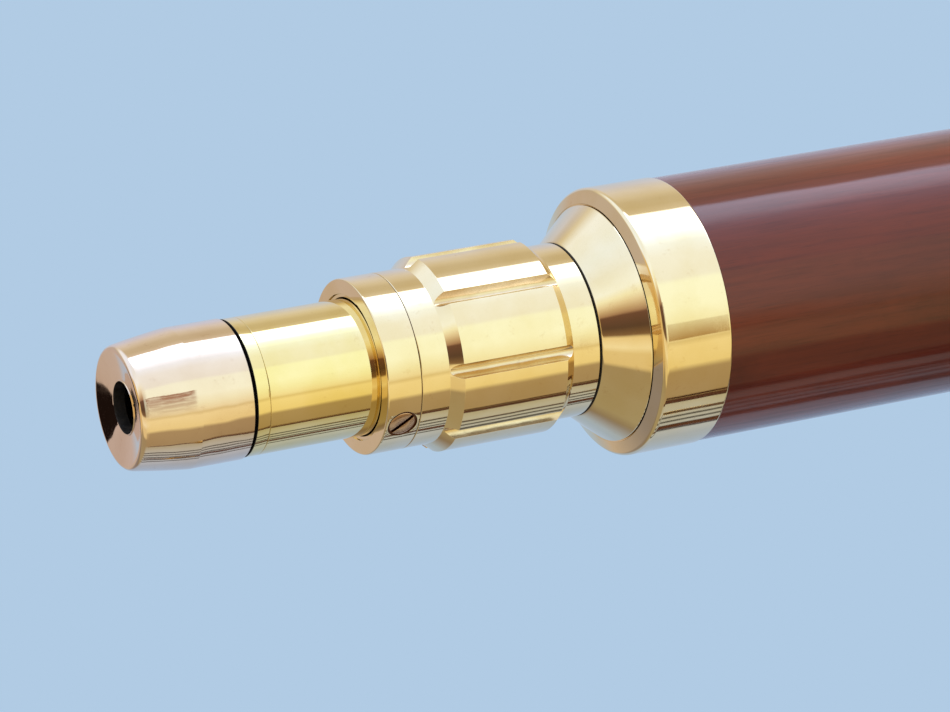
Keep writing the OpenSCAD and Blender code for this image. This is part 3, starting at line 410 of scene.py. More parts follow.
# %% Wood finishes
def mahogany(name, light, middle, dark, coat_roughness, ripple_mm):
    """Stained mahogany under varnish, with its grain along the piece."""
    made, tree, own = material(name)
    slow = add(tree, "ShaderNodeMapping", {"Vector": own, "Scale": (0.012, 0.06, 0.06)})
    fine = add(tree, "ShaderNodeMapping", {"Vector": own, "Scale": (0.03, 0.7, 0.7)})
    finest = add(tree, "ShaderNodeMapping", {"Vector": own, "Scale": (0.16, 4.5, 4.5)})
    figure = add(tree, "ShaderNodeTexNoise", {"Vector": slow, "Scale": 1.0, "Detail": 3.0})
    streaks = add(tree, "ShaderNodeTexNoise",
                  {"Vector": fine, "Scale": 1.0, "Detail": 5.0, "Roughness": 0.6})
    pores = add(tree, "ShaderNodeTexNoise", {"Vector": finest, "Scale": 1.0, "Detail": 2.0})
    smudges = add(tree, "ShaderNodeTexNoise",
                  {"Vector": own, "Scale": 0.03, "Detail": 5.0, "Roughness": 0.6})
    figured = add(tree, "ShaderNodeMapRange",
                  {"Value": figure, "From Min": 0.35, "From Max": 0.65})
    streaked = add(tree, "ShaderNodeMapRange",
                   {"Value": streaks, "From Min": 0.42, "From Max": 0.80, "To Max": 0.45})
    pored = add(tree, "ShaderNodeMapRange",
                {"Value": pores, "From Min": 0.56, "From Max": 0.70, "To Max": 0.3})
    smudged = add(tree, "ShaderNodeMapRange",
                  {"Value": smudges, "From Min": 0.54, "From Max": 0.76, "To Max": 0.6})
    base = add(tree, "ShaderNodeMix", {0: figured, 6: light, 7: middle}, data_type="RGBA")
    for share in (streaked, pored, smudged):
        base = add(tree, "ShaderNodeMix", {0: share, 6: base, 7: dark}, data_type="RGBA")
    rough = add(tree, "ShaderNodeMapRange", {"Value": streaks, "From Min": 0.3,
                                             "From Max": 0.7, "To Min": 0.34, "To Max": 0.5})
    slow_ripple = add(tree, "ShaderNodeMapping", {"Vector": own, "Scale": (0.02, 0.12, 0.12)})
    ripple = add(tree, "ShaderNodeTexNoise", {"Vector": slow_ripple, "Scale": 1.0, "Detail": 2.0})
    grain = add(tree, "ShaderNodeBump", {"Height": pores, "Distance": 0.01 * MM})
    varnish = add(tree, "ShaderNodeBump", {"Height": ripple, "Distance": ripple_mm * MM})
    shader = add(tree, "ShaderNodeBsdfPrincipled",
                 {"Base Color": base, "Roughness": rough, "Normal": grain,
                  "Specular IOR Level": 0.1, "Coat Weight": 1.0, "Coat IOR": 1.42,
                  "Coat Roughness": coat_roughness, "Coat Normal": varnish})
    add(tree, "ShaderNodeOutputMaterial", {"Surface": shader})
    return made


BARREL_WOOD = mahogany("gloss_varnished_mahogany", "#792C15", "#642110", "#350F09",
                       coat_roughness=0.09, ripple_mm=0.10)
LEG_WOOD = mahogany("satin_varnished_mahogany", "#74402A", "#5E2C1C", "#331712",
                    coat_roughness=0.20, ripple_mm=0.05)
print("made:", BARREL_WOOD.name, "and", LEG_WOOD.name)

# %% [markdown]
# ## Glass, leather and rubber
#
# The lenses are clear crown and flint glass with a faint cool tint and the least waviness that
# polishing leaves. The friction washers and the guide bush are harness leather soaked in oil,
# with a fine pebbled skin. The feet are moulded black rubber, never quite black and always a
# little dusty.

# %% Other finishes
GLASS, tree, own = material("polished_optical_glass")
haze = add(tree, "ShaderNodeTexNoise", {"Vector": own, "Scale": 0.2, "Detail": 4.0})
rough = add(tree, "ShaderNodeMapRange", {"Value": haze, "From Min": 0.4, "From Max": 0.8,
                                         "To Max": 0.04})
shader = add(tree, "ShaderNodeBsdfPrincipled", {"Base Color": "#E8F2F4", "Roughness": rough,
                                                "IOR": 1.52, "Transmission Weight": 1.0})
add(tree, "ShaderNodeOutputMaterial", {"Surface": shader})

LEATHER, tree, own = material("oiled_harness_leather")
pebbles = add(tree, "ShaderNodeTexVoronoi", {"Vector": own, "Scale": 1.4})
stain = add(tree, "ShaderNodeTexNoise", {"Vector": own, "Scale": 0.2, "Detail": 5.0})
oiled = add(tree, "ShaderNodeMapRange", {"Value": stain, "From Min": 0.35, "From Max": 0.7})
base = add(tree, "ShaderNodeMix", {0: oiled, 6: "#5A3722", 7: "#35200F"}, data_type="RGBA")
rough = add(tree, "ShaderNodeMapRange", {"Value": stain, "From Min": 0.3, "From Max": 0.7,
                                         "To Min": 0.42, "To Max": 0.62})
pebbled = add(tree, "ShaderNodeBump", {"Height": pebbles, "Distance": 0.12 * MM})
shader = add(tree, "ShaderNodeBsdfPrincipled",
             {"Base Color": base, "Roughness": rough, "Normal": pebbled})
add(tree, "ShaderNodeOutputMaterial", {"Surface": shader})

RUBBER, tree, own = material("moulded_black_rubber")
dust = add(tree, "ShaderNodeTexNoise",
           {"Vector": own, "Scale": 0.5, "Detail": 7.0, "Roughness": 0.65})
skin = add(tree, "ShaderNodeTexNoise", {"Vector": own, "Scale": 3.0, "Detail": 2.0})
dusty = add(tree, "ShaderNodeMapRange",
            {"Value": dust, "From Min": 0.5, "From Max": 0.8, "To Max": 0.7})
base = add(tree, "ShaderNodeMix", {0: dusty, 6: "#1B1A19", 7: "#4A4640"}, data_type="RGBA")
rough = add(tree, "ShaderNodeMapRange", {"Value": dust, "From Min": 0.3, "From Max": 0.8,
                                         "To Min": 0.55, "To Max": 0.85})
moulded = add(tree, "ShaderNodeBump", {"Height": skin, "Distance": 0.05 * MM})
shader = add(tree, "ShaderNodeBsdfPrincipled",
             {"Base Color": base, "Roughness": rough, "Normal": moulded})
add(tree, "ShaderNodeOutputMaterial", {"Surface": shader})
print("materials:", len(bpy.data.materials))

# %% [markdown]
# ## Modelling helpers
#
# Most of the telescope came off a lathe, so most pieces are an outline spun once round the tube.
# Two things make a spun shape look real: its corners are broken by a small bevel, which catches
# a thin line of light, and its flat faces keep flat normals, which the Weighted Normal modifier
# sees to. Holes, slots and grooves are cut with closed cutters, as on the bench.

# %% Modelling helpers
STEPS = 192
TURN = 2 * math.pi


def turned(outline, steps=STEPS):
    """A solid of revolution about X, from an outline of (along, radius) points in millimetres."""
    bm = bmesh.new()
    points = [bm.verts.new((along * MM, 0, radius * MM)) for along, radius in outline]
    on_axis = outline[0][1] == 0 and outline[-1][1] == 0
    pairs = list(zip(points, points[1:])) + ([] if on_axis else [(points[-1], points[0])])
    edges = [bm.edges.new(pair) for pair in pairs]
    bmesh.ops.spin(bm, geom=points + edges, axis=(1, 0, 0), cent=(0, 0, 0), angle=TURN,
                   steps=steps, use_merge=True)
    bmesh.ops.remove_doubles(bm, verts=bm.verts, dist=1e-7)
    bmesh.ops.recalc_face_normals(bm, faces=bm.faces)
    return bm


def arc(centre, radius, start_deg, end_deg, points=8):
    """Points (along, radius) on an arc round a centre, from one angle to another."""
    angles = [math.radians(start_deg + (end_deg - start_deg) * i / points)
              for i in range(points + 1)]
    return [(centre[0] + radius * math.cos(a), centre[1] + radius * math.sin(a)) for a in angles]


def soften(bm, width, segments=3, sharp=28):
    """Bevels every edge that turns by more than sharp degrees. The width is in millimetres."""
    edges = [e for e in bm.edges
             if e.is_manifold and e.calc_face_angle(0) > math.radians(sharp)]
    bmesh.ops.bevel(bm, geom=edges, offset=width * MM, offset_type="OFFSET", segments=segments,
                    profile=0.5, affect="EDGES", material=-1, clamp_overlap=True)
    return bm


def block(low, high):
    """A box between two corners in millimetres."""
    low, high = Vector(low) * MM, Vector(high) * MM
    bm = bmesh.new()
    place = Matrix.LocRotScale((low + high) / 2, None, high - low)
    bmesh.ops.create_cube(bm, size=1, matrix=place)
    return bm


def combine(first, second, operation):
    """The union, difference or intersection of two closed shapes."""
    shapes = []
    for bm in (first, second):
        mesh = bpy.data.meshes.new("shape")
        bm.to_mesh(mesh)
        bm.free()
        mesh.materials.append(None)
        mesh.materials.append(None)
        shapes.append(bpy.data.objects.new("shape", mesh))
        bpy.context.collection.objects.link(shapes[-1])
    cut = shapes[0].modifiers.new("cut", "BOOLEAN")
    cut.operation, cut.object, cut.solver = operation, shapes[1], "EXACT"
    result = bmesh.new()
    result.from_object(shapes[0], bpy.context.evaluated_depsgraph_get())
    for shape in shapes:
        mesh = shape.data
        bpy.data.objects.remove(shape)
        bpy.data.meshes.remove(mesh)
    bmesh.ops.remove_doubles(result, verts=result.verts, dist=1e-6)
    return result


def moved(bm, matrix):
    """The same bmesh, carried by a matrix whose shift is in metres."""
    bm.transform(matrix)
    return bm


def second_finish(bm):
    """Gives all the faces the piece's second finish, which a cut then leaves on its walls."""
    for face in bm.faces:
        face.material_index = 1
    return bm


def gather(parts):
    """Several bmeshes as one, side by side."""
    whole = bmesh.new()
    for bm in parts:
        mesh = bpy.data.meshes.new("part")
        bm.to_mesh(mesh)
        bm.free()
        whole.from_mesh(mesh)
        bpy.data.meshes.remove(mesh)
    return whole


TRIANGLES = {}


def line_bore(bm):
    """Gives the faces that look in at the X axis the second material slot."""
    for face in bm.faces:
        centre = face.calc_center_median()
        outwards = Vector((0, centre.y, centre.z))
        if outwards.length > 0 and face.normal.dot(outwards.normalized()) < -0.8:
            face.material_index = 1


def paint_seam_shade(bm, low, high, below_r):
    """Paints shade into a seam: the faces of a chamfer between two places along the tube get the
    dark second finish.
    """
    for face in bm.faces:
        centre = face.calc_center_median() / MM
        if low <= centre.x <= high and math.hypot(centre.y, centre.z) < below_r:
            face.material_index = 1
    return bm


def piece(bm, name, place, finish, body, replaces, lengthwise=0, inside=None, cuts=None):
    """Finishes a bmesh drawn in a working frame: pattern coordinates, place, normals, body."""
    if inside:
        line_bore(bm)
    own = bm.verts.layers.float_vector.new("own")
    for vertex in bm.verts:
        co = vertex.co / MM
        vertex[own] = (co[lengthwise], co[(lengthwise + 1) % 3], co[(lengthwise + 2) % 3])
    bm.transform(place)
    mesh = bpy.data.meshes.new(name)
    bm.to_mesh(mesh)
    bm.free()
    mesh.polygons.foreach_set("use_smooth", [True] * len(mesh.polygons))
    mesh.set_sharp_from_angle(angle=math.radians(50))
    mesh.materials.append(finish)
    if inside or cuts:
        mesh.materials.append(inside or cuts)
    made = bpy.data.objects.new(name, mesh)
    bpy.context.collection.objects.link(made)
    flat = made.modifiers.new("flat_faces", "WEIGHTED_NORMAL")
    flat.keep_sharp, flat.weight = True, 100
    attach(made, body)
    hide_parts(*replaces)
    TRIANGLES[name] = sum(len(p.vertices) - 2 for p in mesh.polygons)
    return made


def start_end_radius(node):
    """Where a tube part starts and ends along the tube, and its outer radius, in millimetres."""
    low, high = extent(node, TUBE)
    return low.x, high.x, high.y


# %% [markdown]
# ## The eyepiece cap
#
# The cap is what the eye comes up to: a short cone that runs into a cylinder, with a shallow dish
# turned in its end and the eye hole in the middle, left with a thin bright lip. A subdivided
# cylinder would round everything off. Spinning the true outline keeps the cone's crisp start.

# %% Eyepiece cap
start, end, radius = start_end_radius("eyepiece_cap")
RIM_R, FRONT_R, EYE_R = 12.95, 14.05, 5.8
TAPER_END, TAPER_STEPS, TAPER_BOW = 13.6, 12, 0.22
EDGE, DISH, LIP = 1.2, 1.4, 0.5
CAP_BORE, CAP_PLATE, CAP_CHAMFER = 13.6, 4.0, 0.2
taper = []
for i in range(TAPER_STEPS + 1):
    share = i / TAPER_STEPS
    rise = (radius - FRONT_R) * share * (1 + TAPER_BOW - TAPER_BOW * share)
    taper.append((EDGE + (TAPER_END - EDGE) * share, FRONT_R + rise))
cap_outline = [
    (DISH + 0.3, EYE_R), (DISH - 0.1, EYE_R + 0.12), (DISH - 0.16, EYE_R + LIP * 0.6),
    (DISH, EYE_R + LIP), (0.03, RIM_R - 0.25), (0.0, RIM_R), (EDGE * 0.12, FRONT_R - 0.62),
    (EDGE * 0.45, FRONT_R - 0.24), *taper, (TAPER_END + 0.1, radius), (end - CAP_CHAMFER, radius),
    (end, radius - CAP_CHAMFER), (end, CAP_BORE),
    (CAP_PLATE + 1, CAP_BORE), (CAP_PLATE, EYE_R + 1), (CAP_PLATE, EYE_R),
]
# The cap's back chamfer and end face, in the gap by the ring, get the black as painted shade.
cap = paint_seam_shade(turned(cap_outline), end - CAP_CHAMFER, end, radius - 0.01)
piece(cap, "eyepiece_cap_turned", TUBE, ROSE, "cap",
      ["eyepiece_cap"], inside=BLACKING_AND_SEAM_SHADE)
print("cap:", round(end - start, 2), "mm long,", round(2 * radius, 2), "mm across")

# %% [markdown]
# ## Ring and draw tube
#
# The ring screws into the draw tube and carries the lenses, so a hairline shows where they meet.
# That line is two tiny chamfers face to face. The draw tube itself is plain drawn tube.

# %% Ring and draw tube
SEAM = 0.14
start, end, radius = start_end_radius("eyepiece_ring")
tube_start, tube_end, tube_r = start_end_radius("draw_tube")
NECK_R, NECK_BORE, TUBE_BORE, FLANGE_LEN = 13.55, 11.55, 14.3, 3.1
flange = tube_start - FLANGE_LEN
ring_outline = [
    (start, NECK_BORE), (start, NECK_R), (flange, NECK_R), (flange, tube_r - SEAM),
    (flange + SEAM, tube_r), (tube_start - SEAM, tube_r), (tube_start, tube_r - SEAM),
    (tube_start, TUBE_BORE), (end, TUBE_BORE), (end, NECK_BORE),
]
# The ring's neck, step and front chamfer, in the gap under the cap, get the black as painted
# shade.
ring = paint_seam_shade(turned(ring_outline), start, flange + SEAM, tube_r - 0.01)
piece(ring, "eyepiece_ring_turned", TUBE, DRAWN, "drawer",
      ["eyepiece_ring"], inside=BLACKING_AND_SEAM_SHADE)
tube_outline = [
    (tube_start, TUBE_BORE), (tube_start, tube_r - SEAM), (tube_start + SEAM, tube_r),
    (tube_end - SEAM, tube_r), (tube_end, tube_r - SEAM), (tube_end, TUBE_BORE),
]
piece(turned(tube_outline), "draw_tube_drawn", TUBE, DRAWN, "drawer",
      ["draw_tube"], inside=BLACKING_AND_SEAM_SHADE)
print("draw tube:", round(tube_end - tube_start, 1), "mm long,", round(2 * tube_r, 2), "mm across")

# %% [markdown]
# ## Clamp collar and its slotted screws
#
# The collar squeezes the draw tube so that it stays where it is focused. Its front face is flat,
# with a narrow step round the tube, and two slotted screws sit in shallow spot faces on opposite
# sides. The spot faces and the slots are cut, because a cut edge is what makes a screw look
# driven in.

# %% Clamp collar
start, end, radius = start_end_radius("clamp_collar")
sleeve_start, sleeve_end, crest_r = start_end_radius("focusing_sleeve")
COLLAR_BORE, STEP_R, SLEEVE_BORE = 15.8, 16.5, 17.5
collar_outline = [
    (start + 0.5, COLLAR_BORE), (start + 0.5, STEP_R), (start, STEP_R + 0.15),
    (start, radius - 0.5), (start + 0.15, radius - 0.15), (start + 0.5, radius),
    (sleeve_start - SEAM * 1.5, radius), (sleeve_start, radius - SEAM * 1.5),
    (sleeve_start, SLEEVE_BORE), (end, SLEEVE_BORE), (end, COLLAR_BORE),
]
# The collar's back chamfer and face at the sleeve get the dark brown as painted shade.
collar = paint_seam_shade(turned(collar_outline), sleeve_start - SEAM * 1.5, sleeve_start,
                     radius - 0.01)

SCREW_R, SHANK_R, SINK, SPOT_GAP, SLOT_W, SLOT_DEPTH = 3.15, 1.5, 1.7, 0.4, 0.9, 0.8
SCREW_TURN, FIRST_SCREW, SCREWS = math.radians(40), math.radians(-42.5), 2
screw_along = (start + sleeve_start) / 2
screw_top = radius - 0.25


def round_the_tube(angle, along):
    """A frame on the tube's axis whose X points outwards, at an angle above the camera side."""
    outwards = Vector((0, -math.cos(angle), math.sin(angle)))
    return basis(outwards, (1, 0, 0), (along * MM, 0, 0))


screws = []
for i in range(SCREWS):
    seat = round_the_tube(FIRST_SCREW + i * TURN / SCREWS, screw_along)
    spot = moved(turned([(screw_top - 0.2, 0), (screw_top - 0.2, SCREW_R + SPOT_GAP),
                         (radius + 2, SCREW_R + SPOT_GAP), (radius + 2, 0)], 64), seat)
    collar = combine(collar, second_finish(spot), "DIFFERENCE")
    sink = moved(turned([(COLLAR_BORE - 1, 0), (COLLAR_BORE - 1, SHANK_R),
                         (screw_top - SINK, SHANK_R), (screw_top, SCREW_R + 0.05),
                         (screw_top + 0.5, SCREW_R + 0.05), (screw_top + 0.5, 0)], 64), seat)
    collar = combine(collar, second_finish(sink), "DIFFERENCE")
    head = turned([(COLLAR_BORE + 0.4, 0), (COLLAR_BORE + 0.4, SHANK_R),
                   (screw_top - SINK, SHANK_R), (screw_top - 0.15, SCREW_R),
                   (screw_top, SCREW_R - 0.1), (screw_top + 0.1, SCREW_R * 0.6),
                   (screw_top + 0.14, 0)], 64)
    slot = block((screw_top - SLOT_DEPTH, -SCREW_R - 1, -SLOT_W / 2),
                 (screw_top + 1, SCREW_R + 1, SLOT_W / 2))
    slot.transform(Matrix.Rotation(SCREW_TURN, 4, "X"))
    slotted = combine(head, second_finish(slot), "DIFFERENCE")
    screws.append(moved(soften(slotted, 0.06, 2), seat))
piece(soften(collar, 0.08, 2), "clamp_collar_turned", TUBE, POLISHED, "barrel",
      ["clamp_collar"], cuts=DARK_CUTS_AND_SEAM_SHADE)
piece(gather(screws), "slotted_collar_screws", TUBE, SCREW_BRASS, "barrel",
      ["clamp_screws"], cuts=DARK_CUTS_AND_SEAM_SHADE)
print("collar screws:", len(screws), "with heads", 2 * SCREW_R, "mm across")

# %% [markdown]
# ## The fluted focusing sleeve
#
# Eight grooves give the fingers a grip. On the real sleeve a cutter ran along it and came out
# through the bevel at each end, which leaves a pointed end to every groove. Cutting with long
# bars, round below and deeper than they are wide, gives those points for nothing. The bars stop
# short of the plain bands, and a small bevel afterwards rounds the lands.

# %% Focusing sleeve
BAND, BEVEL, BAND_R = 6.8, 2.6, 20.0
GROOVES, FIRST_GROOVE = 8, math.radians(35)
GROOVE_HALF, GROOVE_DEEPER, GROOVE_ABOVE, GROOVE_PAST = 1.7, 1.5, 0.06, 1.0
sleeve_outline = [
    (sleeve_start, SLEEVE_BORE), (sleeve_start, BAND_R - SEAM), (sleeve_start + SEAM, BAND_R),
    (sleeve_start + BAND, BAND_R), (sleeve_start + BAND + BEVEL, crest_r),
    (sleeve_end - BAND - BEVEL, crest_r), (sleeve_end - BAND, BAND_R),
    (sleeve_end - SEAM * 2, BAND_R), (sleeve_end, BAND_R - SEAM * 2), (sleeve_end, SLEEVE_BORE),
]
sleeve = turned(sleeve_outline)
reach = sleeve_end - sleeve_start
cutter_r = BAND_R + GROOVE_ABOVE + GROOVE_HALF * GROOVE_DEEPER
for i in range(GROOVES):
    cutter = turned([(-GROOVE_PAST, 0), (-GROOVE_PAST, GROOVE_HALF), (reach, GROOVE_HALF),
                     (reach, 0)], 48)
    bmesh.ops.scale(cutter, vec=(1, 1, GROOVE_DEEPER), verts=cutter.verts)
    bmesh.ops.translate(cutter, vec=(0, 0, cutter_r * MM), verts=cutter.verts)
    turn = TURN / 4 - (FIRST_GROOVE + i * TURN / GROOVES)
    seat = Matrix.Translation((sleeve_start * MM, 0, 0)) @ Matrix.Rotation(turn, 4, "X")
    sleeve = combine(sleeve, second_finish(moved(cutter, seat)), "DIFFERENCE")
piece(soften(sleeve, 0.16, 3, sharp=20), "fluted_focusing_sleeve", TUBE, POLISHED, "barrel",
      ["focusing_sleeve"], cuts=GROOVED)
print("sleeve:", round(reach, 1), "mm long with", GROOVES, "grooves")

# %% [markdown]
# ## Cone, rear collar and barrel
#
# The cone flares from the sleeve to the big collar, and the collar's face slopes on to a rounded
# edge. Behind it the wooden barrel sits in the collar's socket, a shade smaller than the metal,
# so a hard shadow line closes the joint. The same collar, turned round, closes the far end.

# %% Cone and collars
cone_start, cone_end, _ = start_end_radius("cone_adapter")
ferrule_start, ferrule_end, _ = start_end_radius("rear_collar")
wood_start, wood_end, wood_r = start_end_radius("wood_barrel")
CONE_BIG_R, SPIGOT_R, FERRULE_R, TENON_R, TENON_LEN = 27.3, 24.0, 31.05, 28.8, 14.0
EDGE_ROUND, EDGE_BACK, FACE_SLOPE = 1.3, 2.2, 21
cone_outline = [
    (cone_start, SLEEVE_BORE), (cone_start, BAND_R - SEAM * 3), (cone_start + SEAM * 3, BAND_R),
    (cone_start + 0.7, BAND_R + 0.35), (ferrule_start - 0.35, CONE_BIG_R - 0.05),
    (ferrule_start - 0.1, CONE_BIG_R), (ferrule_start, CONE_BIG_R - 0.1),
    (ferrule_start, SPIGOT_R), (cone_end, SPIGOT_R), (cone_end, SLEEVE_BORE),
]
# The cone's front chamfer and face at the sleeve get the black as painted shade.
cone = paint_seam_shade(turned(cone_outline), cone_start, cone_start + SEAM * 3, BAND_R - 0.01)
piece(cone, "flaring_cone_turned", TUBE, POLISHED, "barrel",
      ["cone_adapter"], inside=BLACKING_AND_SEAM_SHADE)


def ferrule(bore_r, length):
    """The outline of a collar that grips the barrel, from its face at 0 to its open end."""
    centre = (EDGE_BACK, FERRULE_R - EDGE_ROUND)
    return [
        (0.15, bore_r), (0.15, CONE_BIG_R + 0.15), (0.0, CONE_BIG_R + 0.35),
        *arc(centre, EDGE_ROUND, 180 - FACE_SLOPE, 90, 8),
        (length - 0.45, FERRULE_R), (length - 0.1, FERRULE_R - 0.12),
        (length, FERRULE_R - 0.4), (length, TENON_R),
        (length - TENON_LEN, TENON_R), (length - TENON_LEN, bore_r),
    ]


collar_len = ferrule_end - ferrule_start
rear = [(ferrule_start + along, r) for along, r in ferrule(SPIGOT_R, collar_len)]
piece(turned(rear), "rear_collar_turned", TUBE, POLISHED, "barrel",
      ["rear_collar"])
WOOD_BORE = 27.0
wood_from, wood_to = ferrule_end, wood_end - TENON_LEN
WOOD_EDGE = 0.25
barrel_outline = [
    (wood_start, WOOD_BORE), (wood_start, TENON_R), (wood_from, TENON_R),
    (wood_from, wood_r - WOOD_EDGE), (wood_from + WOOD_EDGE, wood_r),
    (wood_to - WOOD_EDGE, wood_r), (wood_to, wood_r - WOOD_EDGE),
    (wood_to, TENON_R), (wood_end, TENON_R), (wood_end, WOOD_BORE),
]
piece(turned(barrel_outline), "turned_wooden_barrel", TUBE, BARREL_WOOD, "barrel",
      ["wood_barrel"])
print("barrel:", round(wood_to - wood_from, 1), "mm of wood shows")

# %% [markdown]
# ## Fallback: a softened copy of a working drawing
#
# Cast and milled parts, such as the yoke and the tripod's head, are already the right shape in
# the frame. A copy is merged, its flat faces are made whole again, and its corners are broken.

# %% Copies and flutes
def softened_copy(node, place, width, segments=2):
    """A copy of a CAD node in a working frame, with its corners bevelled by width mm."""
    bm = bmesh.new()
    bm.from_mesh(frame["nodes"][node].data)
    bm.transform(place.inverted())
    bmesh.ops.remove_doubles(bm, verts=bm.verts, dist=1e-6)
    bmesh.ops.dissolve_limit(bm, angle_limit=math.radians(0.5), verts=bm.verts, edges=bm.edges)
    if width:
        soften(bm, width, segments, sharp=40)
    bmesh.ops.recalc_face_normals(bm, faces=bm.faces)
    return bm


def fluted(bm, flutes, depth, along_from, along_to):
    """Presses rounded flutes into a turned grip, deepest in the middle and fading at its ends."""
    for vertex in bm.verts:
        along = vertex.co.x / MM
        if not along_from <= along <= along_to:
            continue
        radius = math.hypot(vertex.co.y, vertex.co.z) / MM
        if radius < depth * 3:
            continue
        angle = math.atan2(vertex.co.z, vertex.co.y)
        edge = min(along - along_from, along_to - along) / (along_to - along_from)
        fade = min(1.0, edge * 8)
        dip = depth * fade * max(0.0, math.cos(flutes * angle)) ** 2
        vertex.co.y *= 1 - dip / radius
        vertex.co.z *= 1 - dip / radius
    return bm


# %% [markdown]
# ## Objective end
#
# The same collar grips this end of the barrel, a tube carries the objective in its cell, and the
# sunshade slides over it with a rolled bead at its mouth, closed by a dust cap with a turned knob.

# %% Objective end
front_start, front_end, _ = start_end_radius("front_sleeve")
tube_face = front_start + collar_len
FRONT_TUBE_R, FRONT_BORE, FRONT_STEP = 30.0, 28.0, 0.6
front_collar = [(tube_face - along, r) for along, r in ferrule(FRONT_BORE, collar_len)]
front_tube = [
    (tube_face - FRONT_STEP, FRONT_BORE), (tube_face - FRONT_STEP, FRONT_TUBE_R),
    (front_end - SEAM, FRONT_TUBE_R), (front_end, FRONT_TUBE_R - SEAM), (front_end, FRONT_BORE),
]
piece(combine(turned(front_collar), turned(front_tube), "UNION"), "front_collar_and_tube", TUBE,
      POLISHED, "barrel", ["front_sleeve"], inside=BLACKING_AND_SEAM_SHADE)

cell_start, cell_end, cell_r = start_end_radius("objective_cell")
CELL_LENS_R, CELL_SEAT_R, SEAT_AT = 26.0, 24.0, 5.0
cell_outline = [
    (cell_start, CELL_SEAT_R), (cell_start, FRONT_BORE), (front_end, FRONT_BORE),
    (front_end, cell_r - 0.15), (front_end + 0.15, cell_r), (cell_end - 0.5, cell_r),
    (cell_end, cell_r - 0.5), (cell_end, CELL_LENS_R + 0.3), (cell_end - 0.3, CELL_LENS_R),
    (cell_start + SEAT_AT, CELL_LENS_R), (cell_start + SEAT_AT, CELL_SEAT_R),
]
piece(turned(cell_outline), "objective_cell_turned", TUBE, POLISHED, "barrel",
      ["objective_cell"], inside=BLACKING_AND_SEAM_SHADE)

shade_start, shade_end, bead_r = start_end_radius("sunshade")
SHADE_BORE, SHADE_R, BEAD_R, LINE_AT, LINE_DEPTH = 30.05, 31.85, 2.4, 8, 0.2
bead_at = shade_end - 2.6
line_at = shade_start + LINE_AT
shade_outline = [
    (shade_start, SHADE_BORE), (shade_start, SHADE_R - 0.25), (shade_start + 0.25, SHADE_R),
    (line_at, SHADE_R), (line_at + 0.2, SHADE_R - LINE_DEPTH),
    (line_at + 0.6, SHADE_R - LINE_DEPTH), (line_at + 0.8, SHADE_R),
    (bead_at - 3.6, SHADE_R), (bead_at - 3.2, SHADE_R - 0.15),
    *arc((bead_at, bead_r - BEAD_R), BEAD_R, 170, 0, 10), (shade_end, SHADE_BORE),
]
piece(turned(shade_outline), "sliding_sunshade", TUBE, POLISHED, "shade",
      ["sunshade"], inside=BLACKING_AND_SEAM_SHADE)

dust_start, dust_end, dust_r = start_end_radius("dust_cap")
KNOB_R, KNOB_NECK_R, FLANGE, DOME, PLUG_WALL, PLUG_GAP = 5.5, 3.3, 3.0, 2.0, 1.4, 0.05
plug_r, face = SHADE_BORE - PLUG_GAP, shade_end + 0.2
rim = shade_end + FLANGE
ball_at = dust_end - KNOB_R
dust_outline = [
    (face, 0), (face, plug_r - PLUG_WALL), (dust_start, plug_r - PLUG_WALL),
    (dust_start, plug_r - 0.2), (dust_start + 0.2, plug_r), (face, plug_r), (face, dust_r - 0.3),
    (face + 0.3, dust_r), *arc((rim - 1, dust_r - 1), 1, 90, 0, 5),
    (rim, dust_r - 3), (rim - 0.3, dust_r - 3.4), (rim, dust_r - 4),
    (rim + DOME * 0.6, dust_r * 0.6), (rim + DOME, KNOB_R + 1.5),
    (rim + DOME + 0.5, KNOB_NECK_R + 0.6), (ball_at - KNOB_R * 0.78, KNOB_NECK_R),
    *arc((ball_at, 0), KNOB_R, 140, 0, 16)[:-1], (dust_end, 0),
]
piece(turned(dust_outline), "dust_cap_with_knob", TUBE, POLISHED, "front_cap",
      ["dust_cap"])
print("sunshade:", round(shade_end - shade_start, 1), "mm long")

# %% [markdown]
# ## Glass, linings and the little grub screw
#
# These sit inside and are mostly seen through the eye hole or with the dust cap off.

# %% Inner parts
for node, name, body in (
        ("eye_lens", "eye_lens_glass", "drawer"), ("field_lens", "field_lens_glass", "drawer"),
        ("erector_lens", "erector_lens_glass", "drawer"), ("crown_lens", "crown_glass", "barrel"),
        ("flint_lens", "flint_glass", "barrel")):
    piece(softened_copy(node, TUBE, 0.15), name, TUBE, GLASS, body, [node])
for node, name, body in (
        ("erector_cell", "erector_cell_blacked", "drawer"),
        ("barrel_liner", "barrel_lining_tube", "barrel"),
        ("objective_retainer", "objective_retaining_ring", "barrel"),
        ("sleeve_grub_screw", "blacked_grub_screw", "barrel")):
    piece(softened_copy(node, TUBE, 0.12), name, TUBE, BLACKING_AND_SEAM_SHADE, body, [node])
piece(softened_copy("guide_bush", TUBE, 0.2), "leather_guide_bush", TUBE, LEATHER, "barrel",
      ["guide_bush"])
print("pieces so far:", len(TRIANGLES))

# %% [markdown]
# ## Barrel band, yoke and tilt knobs
#
# Two half bands clamp the barrel and carry its trunnions. Leather washers rub against the yoke,
# and two knurled knobs on the trunnions squeeze them to hold the tube at any height.

# %% Band, yoke and knobs
for side, node in (("near", "band_near"), ("far", "band_far")):
    piece(softened_copy(node, TUBE, 0.5, 3), f"barrel_band_{side}", TUBE, POLISHED, "barrel",
          [node])
piece(softened_copy("band_screws", TUBE, 0.5, 3), "barrel_band_screws", TUBE, POLISHED, "barrel",
      ["band_screws"])
piece(softened_copy("pivot_washers", UPRIGHT, 0.4, 3), "leather_pivot_washers", UPRIGHT, LEATHER,
      "barrel", ["pivot_washers"])
piece(softened_copy("yoke", UPRIGHT, 1.2, 4), "cast_yoke", UPRIGHT, AGED, "mount",
      ["yoke"])


